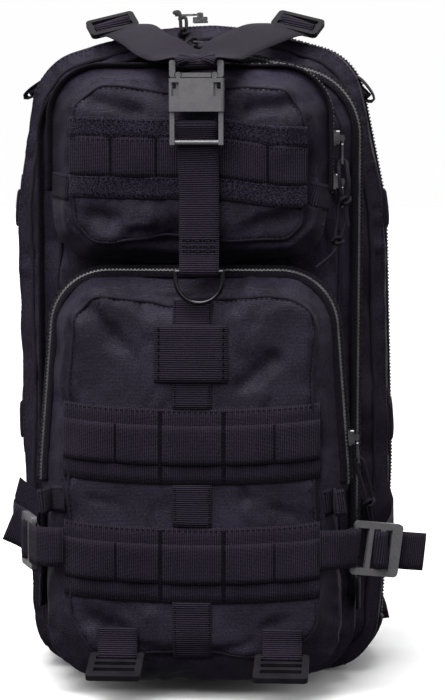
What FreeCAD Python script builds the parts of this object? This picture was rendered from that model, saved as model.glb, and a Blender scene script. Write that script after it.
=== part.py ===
import FreeCAD, Part
import math
import os

from FreeCAD import Vector

# Two-compartment trauma backpack with two front pockets, standing on its base.
# Millimetres. +X is the viewer's right, the front faces -Y, +Z is up.
# The origin is on the ground under the middle of the pack, at x = 0.

os.makedirs("parts", exist_ok=True)

# ---------------------------------------------------------------- driving sizes
WALL = 1.8                # coated fabric with its lining
WEB = 25.4                # one inch webbing
WEB_T = 1.5               # webbing thickness
BACKING = 49.0            # two inch backing webbing

# Layers of the pack, from the back to the front.
BACK_Y = 92.0             # back of the main compartment
MAIN_FRONT_Y = -20.0      # main compartment meets the middle compartment
MIDDLE_FRONT_Y = -62.0    # middle compartment meets the pockets
UPPER_FRONT_Y = -112.0
LOWER_FRONT_Y = -118.0

# Roundings of the front edges, and of the back edge of the main compartment.
MAIN_ROUND = 16.0
MAIN_BACK_ROUND = 14.0
MIDDLE_ROUND = 6.0
UPPER_ROUND = 14.0
LOWER_ROUND = 17.0

# Outlines: corners (x, z, radius) of the right half, from the bottom to the top.
MAIN_HALF = [(120, 0, 40), (129, 260, 600), (123, 423, 44)]
MAIN_APEX = (0, 453.5, 200)
MIDDLE_HALF = [(105, 6, 36), (107, 404, 45)]
MIDDLE_APEX = (0, 428, 200)
LOWER_HALF = [(101, 8, 36), (101, 150, 200), (91, 281, 38)]
UPPER_CENTRE_X = -3.0
UPPER_HALF = [(92, 286, 26), (92, 413, 34)]

# Zippers: depth of the coil and the height where both ends stop.
ZIPPERS = {
    "main": (37.0, 20.0),
    "middle": (-50.0, 60.0),
    "upper": (-85.0, 330.0),
    "lower": (-94.0, 140.0),
}
TAPE_HALF = 6.0           # half width of the zipper tape
TAPE_T = 0.9
COIL_HALF = 2.2
COIL_TOP = 2.0            # top of the coil above the fabric

# Inner parts.
SHEET_T = 2.0
SLEEVE_DEPTH = 8.0
SLEEVE_WALL = 0.8
PAD_T = 9.0               # back padding

# Cross rows on the pockets: (lowest z, highest z) of each backing and webbing.
LOOP_ROWS = [(326.5, 340.0), (365.0, 377.0)]
UPPER_ROW_Z = 340.0
LOWER_ROW_Z = [159.0, 80.5]        # bottoms of the one inch rows
LOWER_BACKING_Z = [146.0, 69.0]    # bottoms of the two inch backings
SIDE_ROW_Z = [297.0, 150.0]        # bottoms of the backings on the sides
SIDE_BACKING = 46.0

# Front strap, buckle and ring.
STRAP_X = 5.5
STRAP_Y = -118.0          # back face of the front strap
BUCKLE_X = 4.5
BUCKLE_Y = -127.0         # middle plane of the buckle
BUCKLE_T = 9.6
BUCKLE_HALF = 17.5
BUCKLE_BAR_Z = 361.0      # lowest edge of the female half
BUCKLE_BODY_Z = (382.0, 403.0)
RING_WIRE = 3.0
RING_Z = 280.5
RING_Y = -121.6

CORD_D = 2.4              # zipper pull cord


# ---------------------------------------------------------------- small helpers
def fuse(shapes):
    """One solid, or a group, from overlapping or separate pieces."""
    whole = shapes[0]
    for other in shapes[1:]:
        whole = whole.fuse(other)
    return whole.removeSplitter()


def group(shapes):
    """Separate solids kept in one node."""
    return Part.makeCompound(shapes)


def box(low, high):
    """An upright box between two corners."""
    size = [b - a for a, b in zip(low, high)]
    return Part.makeBox(size[0], size[1], size[2], Vector(*low))


def mirror_x(shape):
    """The same piece on the other side of the pack."""
    return shape.mirror(Vector(0, 0, 0), Vector(1, 0, 0))


def place(shape, origin, x_axis, y_axis):
    """Turn a piece drawn along the axes so that its own x and y follow the given directions."""
    x = Vector(*x_axis).normalize()
    z = x.cross(Vector(*y_axis)).normalize()
    y = z.cross(x)
    moved = shape.copy()
    moved.Placement = FreeCAD.Placement(FreeCAD.Matrix(
        x.x, y.x, z.x, origin[0],
        x.y, y.y, z.y, origin[1],
        x.z, y.z, z.z, origin[2],
        0, 0, 0, 1,
    ))
    return moved


def rounded_wire(corners):
    """Closed wire in the XZ plane through (x, z, radius) corners, each rounded by an arc."""
    count = len(corners)
    arcs = []
    for i in range(count):
        x, z, radius = corners[i]
        here = Vector(x, 0, z)
        before = Vector(corners[i - 1][0], 0, corners[i - 1][1]) - here
        after = Vector(corners[(i + 1) % count][0], 0, corners[(i + 1) % count][1]) - here
        before.normalize()
        after.normalize()
        half = before.getAngle(after) / 2
        reach = radius / math.tan(half)
        inward = (before + after).normalize()
        centre = here + inward * (radius / math.sin(half))
        arcs.append((here + before * reach, centre - inward * radius, here + after * reach))
    edges = []
    for i in range(count):
        first, middle, last = arcs[i]
        edges.append(Part.Arc(first, middle, last).toShape())
        edges.append(Part.LineSegment(last, arcs[(i + 1) % count][0]).toShape())
    return Part.Wire(edges)


def outline(half, apex=None, centre_x=0.0):
    """Full closed outline from the corners of its right half, with an optional apex at the top."""
    right = [(centre_x + x, z, r) for x, z, r in half]
    left = [(centre_x - x, z, r) for x, z, r in reversed(half)]
    top = [apex] if apex else []
    return rounded_wire(right + top + left)


def slab(wire, y_low, y_high, grow=0.0):
    """The outline, grown or shrunk, as a solid between two depths."""
    if grow:
        wire = wire.makeOffset2D(grow)
    face = Part.Face(wire)
    solid = face.extrude(Vector(0, y_high - y_low, 0))
    solid.translate(Vector(0, y_low, 0))
    return solid


def edges_at(solid, y):
    """The edges that lie in the plane at depth y."""
    found = []
    for edge in solid.Edges:
        bounds = edge.BoundBox
        if abs(bounds.YMin - y) < 0.01 and abs(bounds.YMax - y) < 0.01:
            found.append(edge)
    return found


def bag(wire, y_front, y_back, round_front, round_back=0.0):
    """Closed fabric shell: a rounded outer form less the space inside it."""
    outer = slab(wire, y_front, y_back)
    outer = outer.makeFillet(round_front, edges_at(outer, y_front))
    if round_back:
        outer = outer.makeFillet(round_back, edges_at(outer, y_back))
    inner = slab(wire, y_front + WALL, y_back - WALL, -WALL)
    inner = inner.makeFillet(round_front - WALL, edges_at(inner, y_front + WALL))
    if round_back:
        inner = inner.makeFillet(round_back - WALL, edges_at(inner, y_back - WALL))
    return outer.cut(inner)


def band(wire, y_low, y_high, inside, outside, keep=None):
    """Strip that follows an outline, between two heights off the fabric, cut to the kept boxes."""
    ring = slab(wire, y_low, y_high, outside).cut(slab(wire, y_low, y_high, inside))
    if keep is None:
        return ring
    pieces = [ring.common(one) for one in keep]
    return group([solid for piece in pieces for solid in piece.Solids])


def ribbon(points, width_axis, width, thickness):
    """Flat strap along a few straight runs, rounded where it bends."""
    across = Vector(*width_axis).normalize()
    pieces = []
    for start, end in zip(points[:-1], points[1:]):
        a = Vector(*start)
        run = Vector(*end) - a
        bar = Part.makeBox(run.Length, width, thickness, Vector(0, -width / 2, -thickness / 2))
        pieces.append(place(bar, a, run, across))
    for middle in points[1:-1]:
        foot = Vector(*middle) - across * (width / 2)
        pieces.append(Part.makeCylinder(thickness / 2, width, foot, across))
    return fuse(pieces)


def save(name, shape):
    """Write one piece and report its solids and volume."""
    shape.exportStep("parts/" + name + ".step")
    print("%-26s solids %2d  volume %9.1f  valid %s" % (
        name, len(shape.Solids), shape.Volume, shape.isValid()))


# ---------------------------------------------------------------- compartments
MAIN = outline(MAIN_HALF, MAIN_APEX)
MIDDLE = outline(MIDDLE_HALF, MIDDLE_APEX)
LOWER = outline(LOWER_HALF)
UPPER = outline(UPPER_HALF, centre_x=UPPER_CENTRE_X)


def compartments():
    """The four fabric shells, each meeting the next on a flat panel."""
    save("main_compartment", bag(MAIN, MAIN_FRONT_Y, BACK_Y, MAIN_ROUND, MAIN_BACK_ROUND))
    save("middle_compartment", bag(MIDDLE, MIDDLE_FRONT_Y, MAIN_FRONT_Y, MIDDLE_ROUND))
    save("upper_pocket", bag(UPPER, UPPER_FRONT_Y, MIDDLE_FRONT_Y, UPPER_ROUND))
    save("lower_pocket", bag(LOWER, LOWER_FRONT_Y, MIDDLE_FRONT_Y, LOWER_ROUND))


def inner_parts():
    """Stiff sheet and water bladder sleeve against the inside of the back."""
    sheet = rounded_wire([(95, 30, 20), (95, 400, 30), (-95, 400, 30), (-95, 30, 20)])
    sheet_back = BACK_Y - WALL - 0.2
    save("frame_sheet", slab(sheet, sheet_back - SHEET_T, sheet_back))
    sleeve = rounded_wire([(85, 40, 20), (85, 330, 8), (-85, 330, 8), (-85, 40, 20)])
    back = sheet_back - SHEET_T - 0.4
    front = back - SLEEVE_DEPTH
    space = slab(sleeve, front + SLEEVE_WALL, back - SLEEVE_WALL, -SLEEVE_WALL)
    pouch = slab(sleeve, front, back).cut(space)
    save("hydration_sleeve", pouch)


# ---------------------------------------------------------------- zippers
def tall(z_low, x_low=-200.0, x_high=200.0, z_high=500.0):
    """Everything above one height, or between two, used to trim bands."""
    return box((x_low, -200, z_low), (x_high, 200, z_high))


def zippers():
    """Coil zippers: a tape on the fabric with the closed coil standing on it."""
    wires = {"main": MAIN, "middle": MIDDLE, "upper": UPPER, "lower": LOWER}
    for name, (y, z_end) in ZIPPERS.items():
        wire = wires[name]
        keep = [tall(z_end)]
        tape = band(wire, y - TAPE_HALF, y + TAPE_HALF, 0.0, TAPE_T, keep)
        coil = band(wire, y - COIL_HALF, y + COIL_HALF, TAPE_T, COIL_TOP, keep)
        save(name + "_zipper", fuse(tape.Solids + coil.Solids))


# ---------------------------------------------------------------- webbing rows
def side_backings():
    """Two backing patches of each row on both sides of the main compartment."""
    pieces = []
    for low in SIDE_ROW_Z:
        for keep in side_pair(low, SIDE_BACKING):
            pieces += band(MAIN, 0, 24, 0.0, 1.2, keep).Solids
            pieces += band(MAIN, 50, 76, 0.0, 1.2, keep).Solids
    return pieces


def side_rows():
    """One inch rows over the side backings, each sewn down in four places."""
    pieces = []
    for low in SIDE_ROW_Z:
        for keep in side_pair(low + (SIDE_BACKING - WEB) / 2, WEB):
            row = [band(MAIN, 0, 76, 2.6, 3.9, keep)]
            for start, stop in ((0, 3), (21, 24), (50, 53), (73, 76)):
                row.append(band(MAIN, start, stop, 1.2, 2.6, keep))
            pieces.append(fuse([solid for part in row for solid in part.Solids]))
    return pieces


def side_pair(low, height):
    """Boxes that keep one stretch of a band, on the right and on the left."""
    return [[tall(low, 100, 200, low + height)], [tall(low, -200, -100, low + height)]]


def rows():
    """Loop fields, two inch backings and one inch webbing rows."""
    left = UPPER_CENTRE_X - 76
    right = UPPER_CENTRE_X + 76
    strips = []
    for low, high in LOOP_ROWS:
        strips.append(box((left, UPPER_FRONT_Y - 2.0, low), (right, UPPER_FRONT_Y, high)))
    save("loop_strips", group(strips))
    backings = side_backings()
    for low in LOWER_BACKING_Z:
        backings.append(box((-82, LOWER_FRONT_Y - 1.2, low), (82, LOWER_FRONT_Y, low + BACKING)))
    save("pals_backing", group(backings))
    webbing = side_rows()
    webbing.append(box((left, UPPER_FRONT_Y - WEB_T, UPPER_ROW_Z + 0.1),
                       (right, UPPER_FRONT_Y, UPPER_ROW_Z + 24.8)))
    for low in LOWER_ROW_Z:
        webbing.append(box((-82, LOWER_FRONT_Y - 1.2 - WEB_T, low),
                           (82, LOWER_FRONT_Y - 1.2, low + WEB)))
    save("pals_webbing", group(webbing))


def centre_column():
    """Vertical webbing down the front of the lower pocket, and the square loop patch over it."""
    front = LOWER_FRONT_Y
    gaps = [(32.0, 69.0), (118.0, 146.0), (195.0, 262.0)]
    runs = []
    for low, high in gaps:
        runs.append(box((-12, front - WEB_T, low + 0.05), (13.4, front, high - 0.05)))
    save("centre_webbing", group(runs))
    patch = box((-23.5, front - WEB_T - 1.6, 209), (23.5, front - WEB_T, 246))
    save("loop_patch", patch)


# ---------------------------------------------------------------- front strap and buckle
def front_strap():
    """Webbing from the female buckle down to the ring, folded round both bars and sewn."""
    y = STRAP_Y
    half = WEB / 2
    low_x = STRAP_X - half
    high_x = STRAP_X + half
    flat = box((low_x, y - 2 * WEB_T, RING_Z + 2), (high_x, y, BUCKLE_BAR_Z - 4))
    ring_loop = Part.makeCylinder(3.4, WEB, Vector(low_x, RING_Y, RING_Z), Vector(1, 0, 0))
    ring_hole = Part.makeCylinder(2.0, WEB, Vector(low_x, RING_Y, RING_Z), Vector(1, 0, 0))
    bar_z = BUCKLE_BAR_Z + 1.6
    rise = ribbon([(STRAP_X, y - WEB_T, BUCKLE_BAR_Z - 5), (STRAP_X, BUCKLE_Y, bar_z)],
                  (1, 0, 0), WEB, 2 * WEB_T)
    bar_loop = Part.makeCylinder(3.6, WEB, Vector(low_x, BUCKLE_Y, bar_z), Vector(1, 0, 0))
    bar_hole = Part.makeCylinder(2.1, WEB, Vector(low_x, BUCKLE_Y, bar_z), Vector(1, 0, 0))
    strap = fuse([flat, ring_loop, rise, bar_loop]).cut(fuse([ring_hole, bar_hole]))
    sewn_base = box((low_x, STRAP_Y, 303), (high_x, UPPER_FRONT_Y, 306))
    save("front_strap", fuse([strap, sewn_base]))


def buckle_female():
    """Socket with side windows, two rails and the bar that the front strap passes round."""
    low, high = BUCKLE_BODY_Z
    front = BUCKLE_Y - BUCKLE_T / 2
    back = BUCKLE_Y + BUCKLE_T / 2
    body = box((-BUCKLE_HALF, front, low), (BUCKLE_HALF, back, high))
    body = body.makeFillet(2.0, [e for e in body.Edges if e.BoundBox.ZLength > 10])
    cavity = box((-16.3, front + 1.5, low + 1.6), (16.3, back - 1.5, high + 1))
    windows = []
    for side in (-1, 1):
        x = sorted((side * 14, side * 20))
        windows.append(box((x[0], front + 1.5, 389.6), (x[1], back - 1.5, 401.2)))
        x = sorted((side * 11.0, side * 15.6))
        windows.append(box((x[0], front - 1, 391.6), (x[1], back + 1, 400.4)))
    body = body.cut(fuse([cavity] + windows))
    bar = Part.makeCylinder(1.6, 2 * 15, Vector(-15, BUCKLE_Y, BUCKLE_BAR_Z + 1.6), Vector(1, 0, 0))
    rails = []
    for side in (-1, 1):
        x = sorted((side * 14, side * 17))
        rails.append(box((x[0], BUCKLE_Y - 2.6, BUCKLE_BAR_Z), (x[1], BUCKLE_Y + 2.6, low + 1)))
    whole = fuse([body, bar] + rails)
    whole.translate(Vector(BUCKLE_X, 0, 0))
    save("buckle_female", whole)


MALE_BAR_Z = 412.2
ARM_PIVOT = (11.6, 405.0)     # x from the buckle's middle, and z
ARM_T = 5.0


def buckle_male():
    """Plug: a frame with the strap's bar, and the middle tongue that enters the socket."""
    frame = box((-17.2, BUCKLE_Y - 3.2, 403.6), (17.2, BUCKLE_Y + 3.2, 414.4))
    frame = frame.makeFillet(1.5, [e for e in frame.Edges if e.BoundBox.YLength > 5])
    slot = box((-13.4, BUCKLE_Y - 5, 406.4), (13.4, BUCKLE_Y + 5, 416))
    bar = Part.makeCylinder(1.5, 30, Vector(-15, BUCKLE_Y, MALE_BAR_Z), Vector(1, 0, 0))
    tongue = box((-3.0, BUCKLE_Y - 2, 386), (3.0, BUCKLE_Y + 2, 404.5))
    cups = []
    for side in (-1, 1):
        foot = Vector(side * ARM_PIVOT[0], BUCKLE_Y - 5, ARM_PIVOT[1])
        cups.append(Part.makeCylinder(2.35, 10, foot, Vector(0, 1, 0)))
    arms_gap = fuse(cups)
    whole = fuse([frame.cut(slot), bar, tongue]).cut(arms_gap)
    whole.translate(Vector(BUCKLE_X, 0, 0))
    save("buckle_male", whole)
    loop_out = Part.makeCylinder(3.2, WEB, Vector(BUCKLE_X - WEB / 2, BUCKLE_Y, MALE_BAR_Z),
                                 Vector(1, 0, 0))
    loop_in = Part.makeCylinder(1.9, WEB, Vector(BUCKLE_X - WEB / 2, BUCKLE_Y, MALE_BAR_Z),
                                Vector(1, 0, 0))
    tail = box((BUCKLE_X - WEB / 2, BUCKLE_Y - 0.4, MALE_BAR_Z + 2.4),
               (BUCKLE_X + WEB / 2, BUCKLE_Y + 2.1, MALE_BAR_Z + 9))
    save("y_strap_loop", fuse([loop_out, tail]).cut(loop_in))


def buckle_arms():
    """Two spring arms hinged at the plug, each with a pad that latches in a window."""
    x, z = ARM_PIVOT
    eye = Part.makeCylinder(2.0, ARM_T, Vector(x, BUCKLE_Y - ARM_T / 2, z), Vector(0, 1, 0))
    stem = box((x - 1.3, BUCKLE_Y - ARM_T / 2, 390.0), (x + 1.3, BUCKLE_Y + ARM_T / 2, z))
    y = BUCKLE_Y - ARM_T / 2
    pad_wire = Part.makePolygon([
        Vector(x, y, 386.5), Vector(x + 3.0, y, 387.5), Vector(17.3, y, 392.2),
        Vector(17.3, y, 395.8), Vector(x + 1.0, y, 396.6), Vector(x - 1.3, y, 394.5),
        Vector(x, y, 386.5)])
    pad = Part.Face(pad_wire).extrude(Vector(0, ARM_T, 0))
    arm = fuse([eye, stem, pad])
    for name, piece in (("buckle_arm_right", arm), ("buckle_arm_left", mirror_x(arm))):
        piece.translate(Vector(BUCKLE_X, 0, 0))
        save(name, piece)


def d_ring():
    """Bent wire ring: a straight bar in the strap's fold and a round bow below it."""
    half = 15.0
    drop = 5.0
    r = RING_WIRE / 2
    bar = Part.LineSegment(Vector(-half, 0, 0), Vector(half, 0, 0)).toShape()
    right = Part.LineSegment(Vector(half, 0, 0), Vector(half, 0, -drop)).toShape()
    bow = Part.Arc(Vector(half, 0, -drop), Vector(0, 0, -drop - half),
                   Vector(-half, 0, -drop)).toShape()
    left = Part.LineSegment(Vector(-half, 0, -drop), Vector(-half, 0, 0)).toShape()
    pieces = []
    for edge, axis in ((bar, (1, 0, 0)), (right, (0, 0, -1)), (bow, (0, 0, -1)), (left, (0, 0, 1))):
        start = edge.valueAt(edge.FirstParameter)
        profile = Part.Wire(Part.makeCircle(r, start, Vector(*axis)))
        pieces.append(Part.Wire(edge).makePipeShell([profile], True, False))
    for x in (-half, half):
        pieces.append(Part.makeSphere(r, Vector(x, 0, 0)))
    ring = fuse(pieces)
    ring.translate(Vector(STRAP_X, RING_Y, RING_Z))
    save("d_ring", ring)


# ---------------------------------------------------------------- ladder locks
LOCK_L = 33.0
LOCK_W = 35.0
LOCK_T = 3.6

# Each lock: the middle of its sewn bar, the direction away from it, and the bar's direction.
LOCKS = {
    "compression_lock_right": ((105.0, -106.0, 102.0), (0.94, 0.34, -0.12), (0.12, 0.0, 0.99)),
    "compression_lock_left": ((-104.8, -102.0, 102.0), (-0.34, 0.94, 0.0), (0.0, 0.0, -1.0)),
    "lash_lock_right": ((59.0, -122.0, 32.0), (0.0, -0.96, -0.28), (-1.0, 0.0, 0.0)),
    "lash_lock_left": ((-47.5, -122.0, 32.0), (0.0, -0.96, -0.28), (-1.0, 0.0, 0.0)),
    "strap_lock_right": ((89.5, 119.5, 146.0), (0.1, -0.2, -0.97), (1.0, 0.0, 0.1)),
    "strap_lock_left": ((-89.5, 119.5, 146.0), (-0.1, -0.2, -0.97), (1.0, 0.0, -0.1)),
}
# The sewn tab of each lock runs from the bar through these points.
TABS = {
    "compression_lock_right": [(97.5, -118.4, 102.0), (83.2, -119.5, 102.0)],
    "compression_lock_left": [(-99.3, -117.5, 102.0), (-83.2, -119.5, 102.0)],
    "lash_lock_right": [(59.0, -119.5, 41.0), (59.0, -119.5, 53.0)],
    "lash_lock_left": [(-47.5, -119.5, 41.0), (-47.5, -119.5, 53.0)],
    "strap_lock_right": [(88.2, 121.0, 158.6)],
    "strap_lock_left": [(-88.2, 121.0, 158.6)],
}
# Loose end of each side strap, as (along the lock, off its face).
TAILS = {
    "compression_lock_right": [(34, -3.4), (50, -4.0)],
    "compression_lock_left": [(34, -3.6), (42, 4.0), (48, 14.0)],
}


def lock_shape():
    """Strap adjuster that lies along x from its round sewn bar on the y axis."""
    plate = box((-1.8, -LOCK_W / 2, -LOCK_T / 2), (LOCK_L - 1.8, LOCK_W / 2, LOCK_T / 2))
    upright = [edge for edge in plate.Edges if edge.BoundBox.ZLength > 3]
    plate = plate.makeFillet(3.0, upright)
    slots = [box((-3, -13.2, -5), (8.2, 13.2, 5)),
             box((11.4, -13.2, -5), (16.0, 13.2, 5)),
             box((19.6, -13.2, -5), (24.2, 13.2, 5))]
    bar = Part.makeCylinder(1.7, 30, Vector(0, -15, 0), Vector(0, 1, 0))
    return fuse([plate.cut(fuse(slots)), bar])


def ladder_locks():
    """Six adjusters, their sewn tabs, and the loose ends threaded through two of them."""
    tabs = []
    for name, (bar, away, axis) in LOCKS.items():
        save(name, place(lock_shape(), bar, away, axis))
        across = Vector(*axis).normalize()
        foot = Vector(*bar) - across * (WEB / 2)
        fold = Part.makeCylinder(3.5, WEB, foot, across)
        hole = Part.makeCylinder(2.1, WEB + 2, foot - across, across)
        flat = ribbon([bar] + TABS[name], axis, WEB, 2.6)
        tabs.append(fuse([fold, flat]).cut(hole))
    save("buckle_tabs", group(tabs))
    for name, end in TAILS.items():
        bar, away, axis = LOCKS[name]
        route = [(13.7, -1.0), (13.7, 2.9), (17.8, 3.7), (21.9, 2.9), (21.9, -3.2)] + end
        path = [(along, 0, off) for along, off in route]
        side = name.rsplit("_", 1)[1]
        save("compression_tail_" + side,
             place(ribbon(path, (0, 1, 0), WEB, WEB_T), bar, away, axis))


def compression_straps():
    """Side straps from the locks back to the side seams, and lower shoulder strap webbing."""
    right = ribbon([(124, -91, 102), (130.2, -24, 108), (130.6, 6, 108)], (0, 0, 1), WEB, WEB_T)
    left = ribbon([(-109, -61, 102), (-114, -46, 103), (-130.2, -22, 106), (-130.6, 6, 107)],
                  (0, 0, 1), WEB, WEB_T)
    save("compression_webbing", group([right, left]))
    lower = []
    gussets = []
    for side in (1, -1):
        lower.append(ribbon([(side * 95, 108, 110), (side * 106, 99, 44), (side * 109, 95, 30)],
                            (1, 0, 0), WEB, WEB_T))
        wire = Part.makePolygon([Vector(side * 88, 92, 14), Vector(side * 118, 92, 50),
                                 Vector(side * 122, 92, 26), Vector(side * 100, 92, 10),
                                 Vector(side * 88, 92, 14)])
        gussets.append(Part.Face(wire).extrude(Vector(0, 2.0, 0)))
    save("strap_webbing", group(lower))
    save("strap_gussets", group(gussets))


# ---------------------------------------------------------------- carrying parts
STRAP_PAD = (58, 11)          # width and thickness of a shoulder strap
STRAP_ROUTE = [(46, 102, 406), (50, 112, 396), (56, 124, 366), (64, 131, 310), (74, 132, 245),
               (84, 126, 183), (88, 121, 160)]
STERNUM_Z = 325.0
STERNUM_Y = 140.5


def carrying():
    """Shoulder straps, the yoke over their tops, back padding and the carry handle."""
    for side, name in ((1, "right"), (-1, "left")):
        route = [(side * x, y, z) for x, y, z in STRAP_ROUTE]
        save("shoulder_strap_" + name, ribbon(route, (1, 0, 0), *STRAP_PAD))
    yoke = rounded_wire([(92, 396, 10), (70, 434, 12), (-70, 434, 12), (-92, 396, 10)])
    save("strap_yoke", slab(yoke, BACK_Y, BACK_Y + 1.4))
    pads = []
    for side in (1, -1):
        wire = rounded_wire([(side * 10, 60, 14), (side * 98, 60, 22), (side * 98, 390, 22),
                             (side * 10, 390, 14)])
        pad = slab(wire, BACK_Y, BACK_Y + PAD_T)
        pads.append(pad.makeFillet(4, edges_at(pad, BACK_Y + PAD_T)))
    save("back_pads", group(pads))
    handle = ribbon([(-43, 95.5, 424), (-34, 102, 424), (-19, 110, 424), (19, 110, 424),
                     (34, 102, 424), (43, 95.5, 424)], (0, 0, 1), 20, 4)
    save("carry_handle", handle)


def sternum_strap():
    """Chest strap across the shoulder straps, with a small two part buckle."""
    z = STERNUM_Z
    half = WEB / 2 * 0.78
    y = STERNUM_Y
    save("sternum_webbing_left",
         box((-86, y - 0.7, z - half), (-22.3, y + 0.7, z + half)))
    save("sternum_webbing_right",
         box((22.3, y - 0.7, z - half), (86, y + 0.7, z + half)))
    female = box((-22, y - 4, z - 13), (4, y + 4, z + 13))
    female = female.makeFillet(2.0, [e for e in female.Edges if e.BoundBox.XLength > 20])
    mouth = box((-8, y - 2.4, z - 10.4), (6, y + 2.4, z + 10.4))
    slot = box((-19, y - 6, z - half), (-15.5, y + 6, z + half))
    save("sternum_buckle_female", female.cut(fuse([mouth, slot])))
    base = box((4.5, y - 3.6, z - 12.6), (22, y + 3.6, z + 12.6))
    base = base.makeFillet(2.0, [e for e in base.Edges if e.BoundBox.XLength > 15])
    slot = box((14, y - 6, z - half), (18, y + 6, z + half))
    prongs = [box((-6.5, y - 1.9, z + low), (5, y + 1.9, z + low + 4)) for low in (-9.9, -2, 5.9)]
    save("sternum_buckle_male", fuse([base.cut(slot)] + prongs))


# ---------------------------------------------------------------- strap over the top
GLIDE_L = 34.0
GLIDE_W = 18.0
GLIDE_T = 3.6


def top_strap():
    """Two arms that run from the plug up to the shoulders, and the glides that hold them."""
    arms = []
    glides = []
    for side in (1, -1):
        x = BUCKLE_X
        route = [(x + side * 11, -119.0, 416.0), (side * 46, -26, 441.5), (side * 55.4, -11.4, 442.8)]
        arms.append(ribbon(route, (0.94, -side * 0.34, -side * 0.1), 20, WEB_T))
        glide = box((-GLIDE_W / 2, -GLIDE_L / 2, -GLIDE_T / 2), (GLIDE_W / 2, GLIDE_L / 2, GLIDE_T / 2))
        glide = glide.makeFillet(3.0, [e for e in glide.Edges if e.BoundBox.ZLength > 3])
        slots = fuse([box((-6, -13.2, -4), (-2, 13.2, 4)), box((2, -13.2, -4), (6, 13.2, 4))])
        glides.append(place(glide.cut(slots), (side * 63.5, -1, 445.0), (side * 0.38, 0.72, 0.58),
                            (-0.86, side * 0.4, side * 0.33)))
    save("y_strap", group(arms))
    save("top_glides", group(glides))


# ---------------------------------------------------------------- zipper pulls
# Each slider: point on the fabric under it, direction along the coil away from its tab,
# and the direction across the coil.
SLIDERS = {
    "main": ((-6.0, 37.0, 447.35), (0.99955, 0, 0.03), (0, 1, 0)),
    "middle": ((12.0, -50.0, 422.67), (0.9982, 0, -0.06), (0, 1, 0)),
    "upper_high": ((89.0, -85.0, 366.0), (0, 0, 1), (0, -1, 0)),
    "upper_low": ((89.0, -85.0, 338.0), (0, 0, 1), (0, -1, 0)),
    "lower": ((99.3, -94.0, 172.0), (-0.0761, 0, 0.9971), (0, -1, 0)),
}
# Cord of each pull: from inside its knot up one side of the tab, through the tab's eye,
# down the other side, through the knot to the cut end.
CORDS = {
    "main": [(-14.3, -24.5, 438.0), (-15.5, -15.5, 448.6), (-17.0, -5.0, 452.4),
             (-20.0, 6.5, 453.4), (-23.0, 18.5, 454.2), (-23.5, 29.5, 455.8),
             (-20.4, 37.0, 456.6), (-20.4, 37.0, 451.2), (-20.2, 30.0, 450.9),
             (-18.6, 19.5, 450.5), (-16.0, 8.0, 450.3), (-13.2, -4.0, 449.9),
             (-11.5, -14.5, 447.0), (-10.8, -23.0, 439.0), (-10.0, -28.5, 431.6),
             (-5.0, -33.5, 427.9), (1.5, -38.0, 427.2)],
    "middle": [(8.0, -83.0, 419.0), (1.0, -82.3, 419.8), (-6.5, -76.5, 421.9),
               (-9.0, -67.0, 426.6), (-6.5, -57.5, 431.6), (-1.75, -50.0, 433.2),
               (-1.75, -50.0, 427.8), (-3.5, -57.0, 427.7), (-4.6, -65.0, 423.6),
               (-2.8, -72.6, 419.6), (2.6, -77.4, 418.2), (9.0, -78.4, 418.0),
               (15.0, -75.6, 418.3)],
    "upper_high": [(96.3, -91.8, 326.5), (94.4, -93.4, 335.5), (93.8, -91.6, 344.5),
                   (93.3, -85.0, 351.8), (98.7, -85.0, 351.8), (99.2, -91.6, 344.5),
                   (100.6, -93.8, 336.0), (99.4, -92.8, 327.0), (98.0, -93.6, 318.0),
                   (100.0, -94.0, 309.0)],
    "upper_low": [(91.4, -90.0, 300.5), (92.4, -87.2, 308.5), (93.5, -85.4, 316.5),
                  (93.3, -85.0, 323.8), (98.7, -85.0, 323.8), (98.6, -85.4, 316.5),
                  (97.6, -87.2, 308.5), (94.8, -90.0, 300.5), (91.5, -92.8, 292.5),
                  (85.5, -95.5, 287.0), (79.5, -97.5, 282.5)],
    "lower": [(112.5, -92.0, 131.0), (110.0, -92.5, 140.0), (106.4, -93.6, 150.5),
              (104.7, -94.0, 158.4), (110.1, -94.0, 158.4), (111.8, -93.6, 151.0),
              (114.8, -92.4, 140.5), (115.8, -91.0, 131.5), (114.2, -89.0, 124.0),
              (116.0, -87.0, 118.0)],
}
EYE_OFF = 7.0             # pivot of a pull tab above the fabric


def slider_shape():
    """Zipper slider over the coil, which runs along x, with two ears and the pivot pin."""
    body = box((-5, -4.2, 2.4), (5, 4.2, 5.2))
    body = body.makeFillet(1.2, [e for e in body.Edges if e.BoundBox.ZLength > 2])
    skirts = [box((-5, -4.2, 1.3), (5, -2.8, 3)), box((-5, 2.8, 1.3), (5, 4.2, 3))]
    ears = [box((-2, -2.7, 5), (2, -1.7, 8.2)), box((-2, 1.7, 5), (2, 2.7, 8.2))]
    pin = Part.makeCylinder(0.6, 5.4, Vector(0, -2.7, EYE_OFF), Vector(0, 1, 0))
    return fuse([body] + skirts + ears + [pin])


def pull_shape():
    """Pull tab along -x from its eye on the pin, with a hole for the cord near its end."""
    eye = Part.makeCylinder(1.6, 2.8, Vector(0, -1.4, EYE_OFF), Vector(0, 1, 0))
    neck = box((-4, -1.4, EYE_OFF - 0.6), (-0.5, 1.4, EYE_OFF + 0.6))
    plate = box((-17.6, -2.8, EYE_OFF - 0.6), (-3.4, 2.8, EYE_OFF + 0.6))
    plate = plate.makeFillet(1.0, [e for e in plate.Edges if e.BoundBox.ZLength > 1])
    pin_hole = Part.makeCylinder(0.68, 4, Vector(0, -2, EYE_OFF), Vector(0, 1, 0))
    cord_hole = Part.makeCylinder(1.7, 4, Vector(-14.2, 0, EYE_OFF - 2), Vector(0, 0, 1))
    return fuse([eye, neck, plate]).cut(fuse([pin_hole, cord_hole]))


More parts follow.
